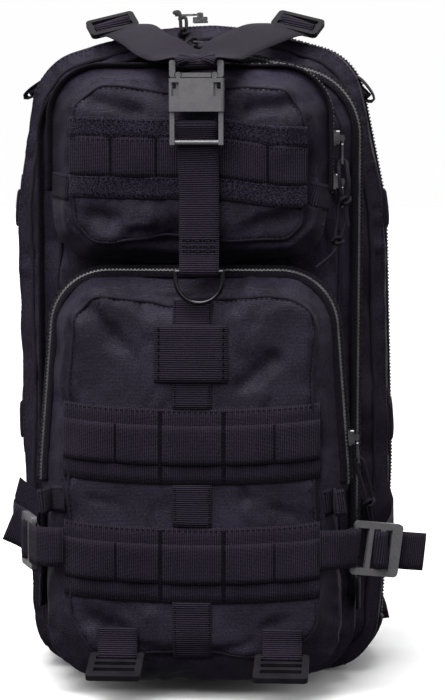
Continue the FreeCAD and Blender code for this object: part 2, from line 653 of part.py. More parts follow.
def cord_shape(name, route):
    """Round cord along straight runs joined by tangent arcs; prints its length and radii."""
    points = [Vector(*point) for point in route]
    edges = []
    radii = []
    start = points[0]
    for before, here, after in zip(points[:-2], points[1:-1], points[2:]):
        back = before - here
        ahead = after - here
        half_turn = (math.pi - back.getAngle(ahead)) / 2
        reach = 0.45 * min(back.Length, ahead.Length)
        radius = reach / math.tan(half_turn)
        back.normalize()
        ahead.normalize()
        centre = here + (back + ahead).normalize() * (radius / math.cos(half_turn))
        middle = centre + (here - centre).normalize() * radius
        first = here + back * reach
        last = here + ahead * reach
        edges.append(Part.LineSegment(start, first).toShape())
        edges.append(Part.Arc(first, middle, last).toShape())
        radii.append(radius)
        start = last
    edges.append(Part.LineSegment(start, points[-1]).toShape())
    path = Part.Wire(edges)
    section = Part.Wire(Part.makeCircle(CORD_D / 2, points[0], points[1] - points[0]))
    tube = path.makePipeShell([section], True, False)
    expected = math.pi * CORD_D ** 2 / 4 * path.Length
    print("cord %-11s length %5.1f  volume ratio %.4f  radii %s" % (
        name, path.Length, tube.Volume / expected, " ".join("%.1f" % r for r in radii)))
    return tube


def zipper_pulls():
    """Slider, hinged tab and knotted cord of every zipper pull."""
    for name, (origin, along, across) in SLIDERS.items():
        save(name + "_slider", place(slider_shape(), origin, along, across))
        save(name + "_pull", place(pull_shape(), origin, along, across))
        save(name + "_cord", cord_shape(name, CORDS[name]))


for make in (compartments, inner_parts, zippers, rows, centre_column,
             front_strap, buckle_female, buckle_male, buckle_arms, d_ring, ladder_locks,
             compression_straps, carrying, sternum_strap, top_strap, zipper_pulls):
    make()
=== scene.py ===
import math

import bpy
import numpy as np
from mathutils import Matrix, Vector, noise
from mathutils.bvhtree import BVHTree
from mathutils.kdtree import KDTree


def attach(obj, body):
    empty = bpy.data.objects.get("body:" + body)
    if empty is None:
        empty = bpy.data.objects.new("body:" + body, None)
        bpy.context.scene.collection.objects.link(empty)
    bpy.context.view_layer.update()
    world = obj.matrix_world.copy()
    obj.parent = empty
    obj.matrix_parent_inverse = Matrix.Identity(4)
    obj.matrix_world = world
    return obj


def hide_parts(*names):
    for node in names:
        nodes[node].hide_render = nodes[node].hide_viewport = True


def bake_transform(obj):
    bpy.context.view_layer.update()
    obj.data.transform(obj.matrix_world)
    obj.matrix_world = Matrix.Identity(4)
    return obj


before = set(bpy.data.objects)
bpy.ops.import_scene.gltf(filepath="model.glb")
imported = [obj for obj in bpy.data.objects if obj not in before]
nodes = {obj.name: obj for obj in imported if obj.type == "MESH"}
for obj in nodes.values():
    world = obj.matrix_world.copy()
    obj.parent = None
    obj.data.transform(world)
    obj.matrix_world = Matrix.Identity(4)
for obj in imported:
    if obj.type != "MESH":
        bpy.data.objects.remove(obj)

# Trauma backpack. Every length below is in millimetres unless it says otherwise;
# meshes are scaled to metres as they are made. Front faces -Y, +X is the viewer's right.
MM = 0.001
WEB = 25.4                # one inch webbing
SIDE_X = 129              # outer face of the main compartment at its sides
scene = bpy.context.scene
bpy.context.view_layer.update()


# ---------------------------------------------------------------- camera
def aim(thing, towards):
    """Turn a camera or a lamp to look along a direction."""
    thing.rotation_mode = "QUATERNION"
    thing.rotation_quaternion = Vector(towards).to_track_quat("-Z", "Y")

CAMERA_AT = Vector((126.8, -1642.0, 337.1)) * MM
TARGET = Vector((12.0, 0.0, 222.0)) * MM
camera_data = bpy.data.cameras.new("camera")
camera_data.lens = 122.97
camera_data.sensor_width = 36.0
camera_data.clip_start = 0.05
camera_data.clip_end = 60.0
camera = bpy.data.objects.new("camera", camera_data)
scene.collection.objects.link(camera)
camera.location = CAMERA_AT
aim(camera, TARGET - CAMERA_AT)
scene.camera = camera


# ---------------------------------------------------------------- materials
def node(tree, kind, inputs=None, **settings):
    """A shader node with its settings, its input values or links."""
    made = tree.nodes.new(kind)
    for name, value in settings.items():
        setattr(made, name, value)
    for name, value in (inputs or {}).items():
        if isinstance(value, bpy.types.NodeSocket):
            tree.links.new(value, made.inputs[name])
        else:
            made.inputs[name].default_value = value
    return made


def maths(tree, operation, first, second=None):
    """The output of one Math node."""
    made = node(tree, "ShaderNodeMath", {0: first}, operation=operation)
    if isinstance(second, bpy.types.NodeSocket):
        tree.links.new(second, made.inputs[1])
    elif second is not None:
        made.inputs[1].default_value = second
    return made.outputs[0]


def weighted(tree, *terms):
    """Sum of (value, weight) pairs."""
    made = None
    for value, weight in terms:
        part = value if weight == 1 else maths(tree, "MULTIPLY", value, weight)
        made = part if made is None else maths(tree, "ADD", made, part)
    return made

def ramp(tree, factor, dark, light, low=0.3, high=0.7):
    """Colour between two shades as factor goes from low to high."""
    made = node(tree, "ShaderNodeValToRGB", {0: factor})
    ends = made.color_ramp.elements
    ends[0].position = low
    ends[1].position = high
    ends[0].color = (*dark, 1)
    ends[1].color = (*light, 1)
    return made.outputs[0]


def surface(name, rough, specular, sheen=0.0, metal=0.0):
    """A material with its constant finish set on the shader itself."""
    made = bpy.data.materials.new(name)
    made.use_nodes = True
    shader = made.node_tree.nodes["Principled BSDF"]
    shader.inputs["Roughness"].default_value = rough
    shader.inputs["Specular IOR Level"].default_value = specular
    shader.inputs["Sheen Weight"].default_value = sheen
    shader.inputs["Sheen Roughness"].default_value = 0.45
    shader.inputs["Metallic"].default_value = metal
    return made, made.node_tree, shader


def noise_value(tree, where, scale, detail=2.0, rough=0.5):
    """Fractal noise between 0 and 1."""
    inputs = {"Vector": where, "Scale": scale, "Detail": detail, "Roughness": rough}
    return node(tree, "ShaderNodeTexNoise", inputs).outputs["Fac"]


def bump(tree, shader, height, distance):
    """Relief of the given height in metres."""
    made = node(tree, "ShaderNodeBump", {"Height": height, "Distance": distance, "Strength": 1.0})
    tree.links.new(made.outputs[0], shader.inputs["Normal"])


def half_up(tree, value):
    return maths(tree, "ADD", maths(tree, "MULTIPLY", value, 0.5), 0.5)


def sine(tree, value, pitch):
    """Sine from 0 to 1 with the given pitch in metres."""
    return half_up(tree, maths(tree, "SINE", maths(tree, "MULTIPLY", value, 2 * math.pi / pitch)))


def woven_cloth(name, dark, light, pitch, rough=0.56, specular=0.13, sheen=0.02, relief=0.00028):
    """Coated plain weave: crossing threads, speckled yarn, soft mottling and a low sheen."""
    made, tree, shader = surface(name, rough, specular, sheen)
    where = node(tree, "ShaderNodeTexCoord").outputs["Object"]
    axes = node(tree, "ShaderNodeSeparateXYZ", {0: where})
    across = maths(tree, "ADD", axes.outputs[0], axes.outputs[1])
    along = maths(tree, "SUBTRACT", axes.outputs[2], maths(tree, "MULTIPLY", axes.outputs[1], 0.6))
    weave = maths(tree, "MULTIPLY", sine(tree, across, pitch), sine(tree, along, pitch))
    yarn = noise_value(tree, where, 900.0, 3.0)
    cloud = noise_value(tree, where, 28.0, 4.0, 0.6)
    shade = weighted(tree, (yarn, 0.55), (cloud, 0.45))
    tree.links.new(ramp(tree, shade, dark, light, 0.41, 0.61), shader.inputs["Base Color"])
    gloss = maths(tree, "SUBTRACT", rough + 0.12, maths(tree, "MULTIPLY", cloud, 0.26))
    tree.links.new(gloss, shader.inputs["Roughness"])
    soft = noise_value(tree, where, 120.0, 3.0)
    bump(tree, shader, weighted(tree, (weave, 0.6), (yarn, 0.7), (soft, 1.6)), relief)
    return made


def ribbed_webbing(name, dark, light, rib=0.0014, rough=0.64, specular=0.11, relief=0.00045):
    """Webbing with ribs across its length and finer warp threads, from its own UV in metres."""
    made, tree, shader = surface(name, rough, specular, 0.02)
    uv = node(tree, "ShaderNodeTexCoord").outputs["UV"]
    where = node(tree, "ShaderNodeTexCoord").outputs["Object"]
    axes = node(tree, "ShaderNodeSeparateXYZ", {0: uv})
    ribs = sine(tree, axes.outputs[1], rib)
    warp = sine(tree, axes.outputs[0], rib * 0.62)
    yarn = noise_value(tree, where, 700.0, 3.0)
    cloud = noise_value(tree, where, 60.0, 3.0)
    shade = weighted(tree, (ribs, 0.5), (yarn, 0.35), (cloud, 0.25), (warp, 0.12))
    tree.links.new(ramp(tree, shade, dark, light, 0.38, 0.88), shader.inputs["Base Color"])
    bump(tree, shader, weighted(tree, (ribs, 1), (warp, 0.4), (yarn, 0.5)), relief)
    return made


def fuzzy_loop(name, dark, light):
    """Loop tape: a dense nap of small curls."""
    made, tree, shader = surface(name, 0.95, 0.05, 0.06)
    where = node(tree, "ShaderNodeTexCoord").outputs["Object"]
    cells = node(tree, "ShaderNodeTexVoronoi", {"Vector": where, "Scale": 1300.0}).outputs["Distance"]
    nap = noise_value(tree, where, 900.0, 4.0, 0.7)
    shade = weighted(tree, (nap, 0.75), (cells, 0.35))
    tree.links.new(ramp(tree, shade, dark, light, 0.46, 0.66), shader.inputs["Base Color"])
    bump(tree, shader, shade, 0.0012)
    return made


def spacer_mesh(name, dark, light):
    """Breathable spacer mesh: a close field of small round holes."""
    made, tree, shader = surface(name, 0.85, 0.12, 0.04)
    where = node(tree, "ShaderNodeTexCoord").outputs["Object"]
    stretch = node(tree, "ShaderNodeMapping", {"Vector": where, "Scale": (1.0, 1.0, 0.8)}).outputs[0]
    cells = node(tree, "ShaderNodeTexVoronoi", {"Vector": stretch, "Scale": 330.0, "Randomness": 0.25})
    yarn = noise_value(tree, where, 900.0, 2.0)
    shade = maths(tree, "SUBTRACT", weighted(tree, (cells.outputs["Distance"], 1.4), (yarn, 0.3)), 0.1)
    tree.links.new(ramp(tree, shade, dark, light, 0.2, 0.8), shader.inputs["Base Color"])
    bump(tree, shader, shade, 0.0009)
    return made


def moulded(name, dark, light, rough=0.36, specular=0.5, metal=0.0, grain=0.00006):
    """Moulded plastic or coated metal: fine grain, faint flow marks and rubbed patches."""
    made, tree, shader = surface(name, rough, specular, 0.0, metal)
    where = node(tree, "ShaderNodeTexCoord").outputs["Object"]
    fine = noise_value(tree, where, 1500.0, 3.0)
    flow = noise_value(tree, where, 90.0, 4.0, 0.6)
    tree.links.new(ramp(tree, flow, dark, light, 0.3, 0.75), shader.inputs["Base Color"])
    spread = maths(tree, "ADD", maths(tree, "MULTIPLY", flow, 0.22), rough - 0.11)
    tree.links.new(spread, shader.inputs["Roughness"])
    bump(tree, shader, weighted(tree, (fine, 1), (flow, 2.0)), grain)
    return made


def braided(name, dark, light, specular=0.2):
    """Round braid: two crossing helices of yarn in object space."""
    made, tree, shader = surface(name, 0.6, specular, 0.02)
    where = node(tree, "ShaderNodeTexCoord").outputs["Object"]
    axes = node(tree, "ShaderNodeSeparateXYZ", {0: where})
    one = weighted(tree, *((axis, 1) for axis in axes.outputs))
    two = maths(tree, "SUBTRACT", maths(tree, "SUBTRACT", axes.outputs[2], axes.outputs[0]), axes.outputs[1])
    plait = maths(tree, "MULTIPLY", sine(tree, one, 0.0016), sine(tree, two, 0.0016))
    yarn = noise_value(tree, where, 1300.0, 2.0)
    shade = weighted(tree, (plait, 0.7), (yarn, 0.4))
    tree.links.new(ramp(tree, shade, dark, light, 0.15, 0.85), shader.inputs["Base Color"])
    bump(tree, shader, shade, 0.0003)
    return made


FABRIC = woven_cloth("pack_fabric", (0.0058, 0.0042, 0.0094), (0.0215, 0.0166, 0.0325), 0.00085)
# The pack fabric again, made darker as painted shade; used on the zip-end tabs, side wings, yoke and strap gussets.
PAINTED_SHADE_FABRIC = woven_cloth("fabric_painted_shade", (0.0078, 0.0059, 0.0125), (0.0150, 0.0115, 0.0228), 0.00085)
WEBBING = ribbed_webbing("webbing", (0.0034, 0.0022, 0.0046), (0.0235, 0.0160, 0.0320))
TAPE = ribbed_webbing("zip_tape", (0.002, 0.0016, 0.003), (0.009, 0.007, 0.012), 0.0009, 0.8, 0.08, 0.0002)
BINDING = ribbed_webbing("binding", (0.004, 0.0029, 0.006), (0.016, 0.012, 0.022), 0.0009, 0.7, 0.14, 0.0002)
LOOP = fuzzy_loop("loop_fabric", (0.0016, 0.0012, 0.0028), (0.0255, 0.0205, 0.0370))
MESH = spacer_mesh("mesh_fabric", (0.0045, 0.004, 0.005), (0.026, 0.023, 0.028))
LINING = woven_cloth("lining", (0.012, 0.011, 0.014), (0.03, 0.028, 0.034), 0.0006, 0.7, 0.2, 0.1, 0.0001)
# Buckles and ladder locks are black plastic; this light grey base colour is a painted reflection of the lamps.
PAINTED_REFLECTION_PLASTIC = moulded("buckle_plastic", (0.088, 0.085, 0.093), (0.102, 0.098, 0.107), 0.28, 0.7)
DARK_PLASTIC = moulded("lock_plastic", (0.005, 0.0043, 0.0062), (0.012, 0.0105, 0.014), 0.56, 0.16)
SHEET = moulded("sheet_plastic", (0.02, 0.02, 0.022), (0.05, 0.05, 0.055), 0.4, 0.5)
# The coil is black nylon; its lighter grey base colour is a painted glint.
PAINTED_GLINT_COIL = moulded("coil", (0.030, 0.0285, 0.033), (0.100, 0.095, 0.106), 0.30, 0.8)
METAL = moulded("dark_metal", (0.02, 0.019, 0.022), (0.06, 0.057, 0.064), 0.26, 0.5, 1.0)
PULL_METAL = moulded("pull_metal", (0.10, 0.097, 0.105), (0.22, 0.214, 0.226), 0.24, 0.5, 1.0)
CORD = braided("cord", (0.0024, 0.0018, 0.0033), (0.0125, 0.0098, 0.0158), 0.12)
THREAD = braided("thread", (0.0014, 0.0010, 0.0020), (0.0105, 0.0076, 0.0135), 0.05)


# ---------------------------------------------------------------- mesh helpers
def link(name, data, body="pack"):
    """A new object in the scene that rides on a body."""
    made = bpy.data.objects.new(name, data)
    scene.collection.objects.link(made)
    if body:
        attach(made, body)
    return made


def build(name, points, faces, finish, body="pack", uv=None, smooth=True):
    """A mesh object from points in millimetres; uv, if given, is one pair in metres per point."""
    mesh = bpy.data.meshes.new(name)
    mesh.from_pydata([Vector(p) * MM for p in points], [], faces)
    if uv is not None:
        layer = mesh.uv_layers.new(name="UVMap")
        corner = np.zeros(len(mesh.loops), np.int32)
        mesh.loops.foreach_get("vertex_index", corner)
        layer.data.foreach_set("uv", np.array(uv, np.float32)[corner].ravel())
    mesh.polygons.foreach_set("use_smooth", [smooth] * len(mesh.polygons))
    mesh.materials.append(finish)
    return link(name, mesh, body)


def positions(obj):
    """Vertex positions in millimetres."""
    flat = np.zeros(len(obj.data.vertices) * 3)
    obj.data.vertices.foreach_get("co", flat)
    return flat.reshape(-1, 3) / MM


def set_positions(obj, points):
    obj.data.vertices.foreach_set("co", (points * MM).astype(np.float32).ravel())
    obj.data.update()


def normals(obj):
    flat = np.zeros(len(obj.data.vertices) * 3)
    obj.data.vertices.foreach_get("normal", flat)
    return flat.reshape(-1, 3)


def bake(obj):
    """Replace the mesh by what its modifiers make of it."""
    graph = bpy.context.evaluated_depsgraph_get()
    mesh = bpy.data.meshes.new_from_object(obj.evaluated_get(graph))
    obj.modifiers.clear()
    obj.data = mesh
    mesh.polygons.foreach_set("use_smooth", [True] * len(mesh.polygons))
    return obj


def subdivided(obj):
    """One level of smooth subdivision, kept in the mesh."""
    subdivide = obj.modifiers.new("subdivide", "SUBSURF")
    subdivide.levels = subdivide.render_levels = 1
    return bake(obj)

def tree_of(*objects):
    """Ray-casting tree of several objects, in millimetres."""
    points = []
    faces = []
    for obj in objects:
        start = len(points)
        points.extend(positions(obj).tolist())
        faces.extend([[start + v for v in face.vertices] for face in obj.data.polygons])
    return BVHTree.FromPolygons(points, faces)


def resample(points, step, closed=False):
    """Evenly spaced points along a polyline."""
    line = [Vector(p) for p in points]
    if closed:
        line.append(line[0].copy())
    lengths = [0.0]
    for a, b in zip(line[:-1], line[1:]):
        lengths.append(lengths[-1] + (b - a).length)
    count = max(2, round(lengths[-1] / step))
    made = []
    span = 0
    for i in range(count + (0 if closed else 1)):
        at = lengths[-1] * i / count
        while span < len(lengths) - 2 and lengths[span + 1] < at:
            span += 1
        share = (at - lengths[span]) / max(lengths[span + 1] - lengths[span], 1e-9)
        made.append(line[span].lerp(line[span + 1], share))
    return made


def smooth_path(points, step=3.0):
    """Catmull-Rom curve through the points, evenly spaced."""
    line = [Vector(p) for p in points]
    ends = [line[0] * 2 - line[1]] + line + [line[-1] * 2 - line[-2]]
    fine = []
    for i in range(1, len(ends) - 2):
        a, b, c, d = ends[i - 1:i + 3]
        for k in range(12):
            t = k / 12
            fine.append(0.5 * ((2 * b) + (c - a) * t + (2 * a - 5 * b + 4 * c - d) * t ** 2
                               + (3 * b - a - 3 * c + d) * t ** 3))
    fine.append(line[-1])
    return resample(fine, step)


def smoothstep(low, high, value):
    share = min(1.0, max(0.0, (value - low) / (high - low)))
    return share * share * (3 - 2 * share)


# ---------------------------------------------------------------- outlines
class Outline:
    """Closed rounded outline in the XZ plane, with its outward normals."""

    def __init__(self, half=(), apex=None, centre=0.0, step=2.5, corners=None):
        right = [(centre + x, z, r) for x, z, r in half]
        left = [(centre - x, z, r) for x, z, r in reversed(half)]
        corners = corners or right + ([apex] if apex else []) + left
        count = len(corners)
        line = []
        for i in range(count):
            x, z, radius = corners[i]
            here = Vector((x, z))
            before = (Vector(corners[i - 1][:2]) - here).normalized()
            after = (Vector(corners[(i + 1) % count][:2]) - here).normalized()
            half_angle = before.angle(after) / 2
            reach = radius / math.tan(half_angle)
            middle = here + (before + after).normalized() * (radius / math.sin(half_angle))
            first = here + before * reach - middle
            last = here + after * reach - middle
            start = math.atan2(first.y, first.x)
            sweep = (math.atan2(last.y, last.x) - start + math.pi) % (2 * math.pi) - math.pi
            pieces = max(2, round(abs(sweep) * radius / step))
            for k in range(pieces + 1):
                angle = start + sweep * k / pieces
                line.append(middle + Vector((math.cos(angle), math.sin(angle))) * radius)
        self.points = resample(line, step, closed=True)
        self.normals = []
        for i, point in enumerate(self.points):
            run = self.points[(i + 1) % len(self.points)] - self.points[i - 1]
            self.normals.append(Vector((run.y, -run.x)).normalized())
        self.search = KDTree(len(self.points))
        for i, point in enumerate(self.points):
            self.search.insert((point.x, 0, point.y), i)
        self.search.balance()

    def offset(self, x, z):
        """(distance outside the outline, outward normal there)."""
        found = self.search.find((x, 0, z))[1]
        normal = self.normals[found]
        return (Vector((x, z)) - self.points[found]).dot(normal), normal

    def ring(self, grow, y):
        """The outline grown by a distance, at a depth."""
        return [Vector((p.x + n.x * grow, y, p.y + n.y * grow))
                for p, n in zip(self.points, self.normals)]

    def arc(self, low_z):
        """Indices of the stretch above a height, from the right foot over the top to the left one."""
        count = len(self.points)
        inside = [p.y > low_z for p in self.points]
        first = next(i for i in range(count) if inside[i] and not inside[i - 1])
        made = []
        while inside[first % count] and len(made) < count:
            made.append(first % count)
            first += 1
        return made


MAIN = Outline(corners=[(119, 0, 40), (128, 140, 500), (123.5, 322, 160), (103, 423.5, 40), (-1, 453.0, 200),
                        (-116, 420, 44), (-129.5, 322, 160), (-127, 150, 500), (-119, 0, 40)])
MIDDLE = Outline([(105, 6, 36), (107, 404, 45)], (0, 428, 200))
LOWER = Outline([(101, 8, 36), (101, 150, 200), (91, 281, 38)])
UPPER = Outline([(92, 286, 26), (92, 413, 34)], centre=-3.0)
# Front panels, inside the sloping gussets.
UPPER_PANEL = Outline(corners=[(62, 297, 7), (76.5, 311, 8), (77, 374, 9), (63, 399, 12), (-62, 403, 12),
                               (-79, 387, 9), (-81, 312, 9), (-66, 297, 7)], step=2.0)
LOWER_PANEL = Outline(corners=[(60, 30, 14), (83, 50, 22), (84, 130, 90), (80, 207, 90), (84, 252, 15),
                               (64, 267, 24), (-66, 267, 16), (-79, 252, 15), (-83, 197, 90), (-82, 60, 22),
                               (-64, 30, 14)], step=2.0)
MIDDLE_PANEL = Outline([(96, 15, 30), (97, 396, 38)], (0, 419, 190))


# ---------------------------------------------------------------- zipper pull cords
CORD_D = 2.4
CORDS = {
    "main": [(-14.3, -24.5, 438.0), (-15.5, -15.5, 448.6), (-17.0, -5.0, 452.4),
             (-20.0, 6.5, 453.4), (-23.0, 18.5, 454.2), (-23.5, 29.5, 455.8),
             (-20.4, 37.0, 456.6), (-20.4, 37.0, 451.2), (-20.2, 30.0, 450.9),
             (-18.6, 19.5, 450.5), (-16.0, 8.0, 450.3), (-13.2, -4.0, 449.9),
             (-11.5, -14.5, 447.0), (-10.8, -23.0, 439.0), (-10.0, -28.5, 431.6),
             (-5.0, -33.5, 427.9), (1.5, -38.0, 427.2)],
    "middle": [(8.0, -83.0, 419.0), (1.0, -82.3, 419.8), (-6.5, -76.5, 421.9),
               (-9.0, -67.0, 426.6), (-6.5, -57.5, 431.6), (-1.75, -50.0, 433.2),
               (-1.75, -50.0, 427.8), (-3.5, -57.0, 427.7), (-4.6, -65.0, 423.6),
               (-2.8, -72.6, 419.6), (2.6, -77.4, 418.2), (9.0, -78.4, 418.0),
               (15.0, -75.6, 418.3)],
    "upper_high": [(96.3, -91.8, 326.5), (94.4, -93.4, 335.5), (93.8, -91.6, 344.5),
                   (93.3, -85.0, 351.8), (98.7, -85.0, 351.8), (99.2, -91.6, 344.5),
                   (100.6, -93.8, 336.0), (99.4, -92.8, 327.0), (98.0, -93.6, 318.0),
                   (100.0, -94.0, 309.0)],
    "upper_low": [(91.4, -90.0, 300.5), (92.4, -87.2, 308.5), (93.5, -85.4, 316.5),
                  (93.3, -85.0, 323.8), (98.7, -85.0, 323.8), (98.6, -85.4, 316.5),
                  (97.6, -87.2, 308.5), (94.8, -90.0, 300.5), (91.5, -92.8, 292.5),
                  (85.5, -95.5, 287.0), (79.5, -97.5, 282.5)],
    "lower": [(112.5, -92.0, 131.0), (110.0, -92.5, 140.0), (106.4, -93.6, 150.5),
              (104.7, -94.0, 158.4), (110.1, -94.0, 158.4), (111.8, -93.6, 151.0),
              (114.8, -92.4, 140.5), (115.8, -91.0, 131.5), (114.2, -89.0, 124.0),
              (116.0, -87.0, 118.0)],
}
# Middle of each knot, and the direction that its cords run through it.
KNOTS = {
    "main": ((-12.4, -24.6, 437.4), (0.1, -0.55, -0.83)),
    "middle": ((6.5, -80.6, 418.9), (0.9, 0.2, -0.1)),
    "upper_high": ((97.8, -92.3, 325.6), (0.1, 0, -1)),
    "upper_low": ((93.0, -90.2, 299.4), (-0.3, -0.25, -0.9)),
    "lower": ((114.0, -91.2, 129.6), (0.1, 0.2, -1)),
}


def cord_line(name, route, diameter, body):
    """Smooth cord through its control points."""
    data = bpy.data.curves.new(name, "CURVE")
    data.dimensions = "3D"
    data.bevel_depth = diameter / 2 * MM
    data.bevel_resolution = 4
    data.resolution_u = 8
    data.use_fill_caps = True
    spline = data.splines.new("NURBS")
    spline.points.add(len(route) - 1)
    for control, point in zip(spline.points, route):
        control.co = (*(Vector(point) * MM), 1.0)
    spline.order_u = 3
    spline.use_endpoint_u = True
    data.materials.append(CORD)
    return link(name, data, body)


def knot(name, middle, along, body, size=3.3):
    """Overhand knot: a trefoil of cord drawn tight round the strands."""
    axis = Vector(along).normalized()
    side = axis.orthogonal().normalized()
    other = axis.cross(side)
    turns = 72
    centre_line = []
    for i in range(turns):
        t = 2 * math.pi * i / turns
        r = size * (0.72 + 0.30 * math.cos(3 * t))
        rise = size * 0.62 * math.sin(3 * t)
        centre_line.append(Vector(middle) + side * (r * math.cos(2 * t))
                           + other * (r * math.sin(2 * t)) + axis * rise)
    return tube(name, centre_line, CORD_D / 2, CORD, body, closed=True)


def tube(name, line, radius, finish, body="pack", closed=False, sides=8):
    """Round tube along a polyline in millimetres."""
    count = len(line)
    points = []
    faces = []
    uv = []
    normal = None
    run = 0.0
    for i, point in enumerate(line):
        if closed:
            ahead = (line[(i + 1) % count] - line[i - 1]).normalized()
        else:
            ahead = (line[min(i + 1, count - 1)] - line[max(i - 1, 0)]).normalized()
        if normal is None:
            normal = ahead.orthogonal().normalized()
        normal = (normal - ahead * normal.dot(ahead)).normalized()
        other = ahead.cross(normal)
        for k in range(sides):
            angle = 2 * math.pi * k / sides
            points.append(point + normal * (math.cos(angle) * radius) + other * (math.sin(angle) * radius))
            uv.append((angle * radius * MM, run * MM))
        run += (line[min(i + 1, count - 1)] - point).length
    rings = count if closed else count - 1
    for i in range(rings):
        a = i * sides
        b = ((i + 1) % count) * sides
        for k in range(sides):
            faces.append((a + k, a + (k + 1) % sides, b + (k + 1) % sides, b + k))
    if not closed:
        faces.append(tuple(range(sides))[::-1])
        faces.append(tuple((count - 1) * sides + k for k in range(sides)))
    return build(name, points, faces, finish, body, uv)


for name, route in CORDS.items():
    body = name + "_tab"
    line = cord_line(name + "_pull_cord", route, CORD_D, body)
    tie = knot(name + "_pull_knot", *KNOTS[name], body)
    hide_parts(name + "_cord")


# ---------------------------------------------------------------- bags
def bag_solid(name, outline, y_front, y_back, round_front, round_back, shrink, voxel):
    """Closed form with rounded edges, remeshed to an even grid."""
    quarter = [math.radians(90 * k / 4) for k in range(5)]
    rings = [(y_front + shrink + round_front * (1 - math.sin(angle)),
              -shrink - round_front * (1 - math.cos(angle))) for angle in reversed(quarter)]
    rings += [(y_back - shrink - round_back * (1 - math.sin(angle)),
               -shrink - round_back * (1 - math.cos(angle))) for angle in quarter]
    count = len(outline.points)
    points = []
    for y, grow in rings:
        points.extend(outline.ring(grow, y))
    faces = []
    for i in range(len(rings) - 1):
        for k in range(count):
            a = i * count + k
            b = i * count + (k + 1) % count
            faces.append((a, b, b + count, a + count))
    faces.append(tuple(range(count))[::-1])
    faces.append(tuple((len(rings) - 1) * count + k for k in range(count)))
    made = build(name, points, faces, FABRIC)
    remesh = made.modifiers.new("remesh", "REMESH")
    remesh.mode = "VOXEL"
    remesh.voxel_size = voxel * MM
    return bake(made)


def add_cloth(obj, pressure=4.0):
    """Cloth that swells under a little pressure, with no gravity."""
    cloth = obj.modifiers.new("cloth", "CLOTH")
    settings = cloth.settings
    settings.quality = 5
    settings.mass = 0.3
    settings.tension_stiffness = 25
    settings.compression_stiffness = 15
    settings.shear_stiffness = 8
    settings.bending_stiffness = 1.2
    settings.use_pressure = True
    settings.uniform_pressure_force = pressure
    settings.effector_weights.gravity = 0.0
    cloth.collision_settings.use_collision = False
    cloth.collision_settings.use_self_collision = False


def swell(objects, caps, frames=20):
    """Run the cloth of several pieces together, cap how far each point moves and keep the result."""
    start = [positions(obj) for obj in objects]
    for obj in objects:
        add_cloth(obj)
    for number in range(1, frames + 1):
        scene.frame_set(number)
    graph = bpy.context.evaluated_depsgraph_get()
    for obj, before, cap in zip(objects, start, caps):
        mesh = obj.evaluated_get(graph).to_mesh()
        flat = np.zeros(len(mesh.vertices) * 3)
        mesh.vertices.foreach_get("co", flat)
        after = flat.reshape(-1, 3) / MM
        obj.evaluated_get(graph).to_mesh_clear()
        obj.modifiers.clear()
        move = after - before
        size = np.linalg.norm(move, axis=1, keepdims=True)
        move = move * np.minimum(1.0, cap / np.maximum(size, 1e-6))
        set_positions(obj, before + move)
    scene.frame_set(1)


def relax(obj, rounds=2, share=0.5):
    """Average each point with its neighbours."""
    edges = np.zeros(len(obj.data.edges) * 2, np.int64)
    obj.data.edges.foreach_get("vertices", edges)
    edges = edges.reshape(-1, 2)
    points = positions(obj)
    count = np.zeros(len(points))
    np.add.at(count, edges[:, 0], 1)
    np.add.at(count, edges[:, 1], 1)
    for _ in range(rounds):
        total = np.zeros_like(points)
        np.add.at(total, edges[:, 0], points[edges[:, 1]])
        np.add.at(total, edges[:, 1], points[edges[:, 0]])
        points = points * (1 - share) + share * total / np.maximum(count, 1)[:, None]
    set_positions(obj, points)


def to_line(x, z, crease):
    """(distance from a crease in the XZ plane, share along it)."""
    x0, z0, x1, z1 = crease[:4]
    run = Vector((x1 - x0, z1 - z0))
    share = max(0.0, min(1.0, (Vector((x - x0, z - z0)).dot(run)) / run.length_squared))
    return (Vector((x, z)) - Vector((x0, z0)) - run * share).length, share


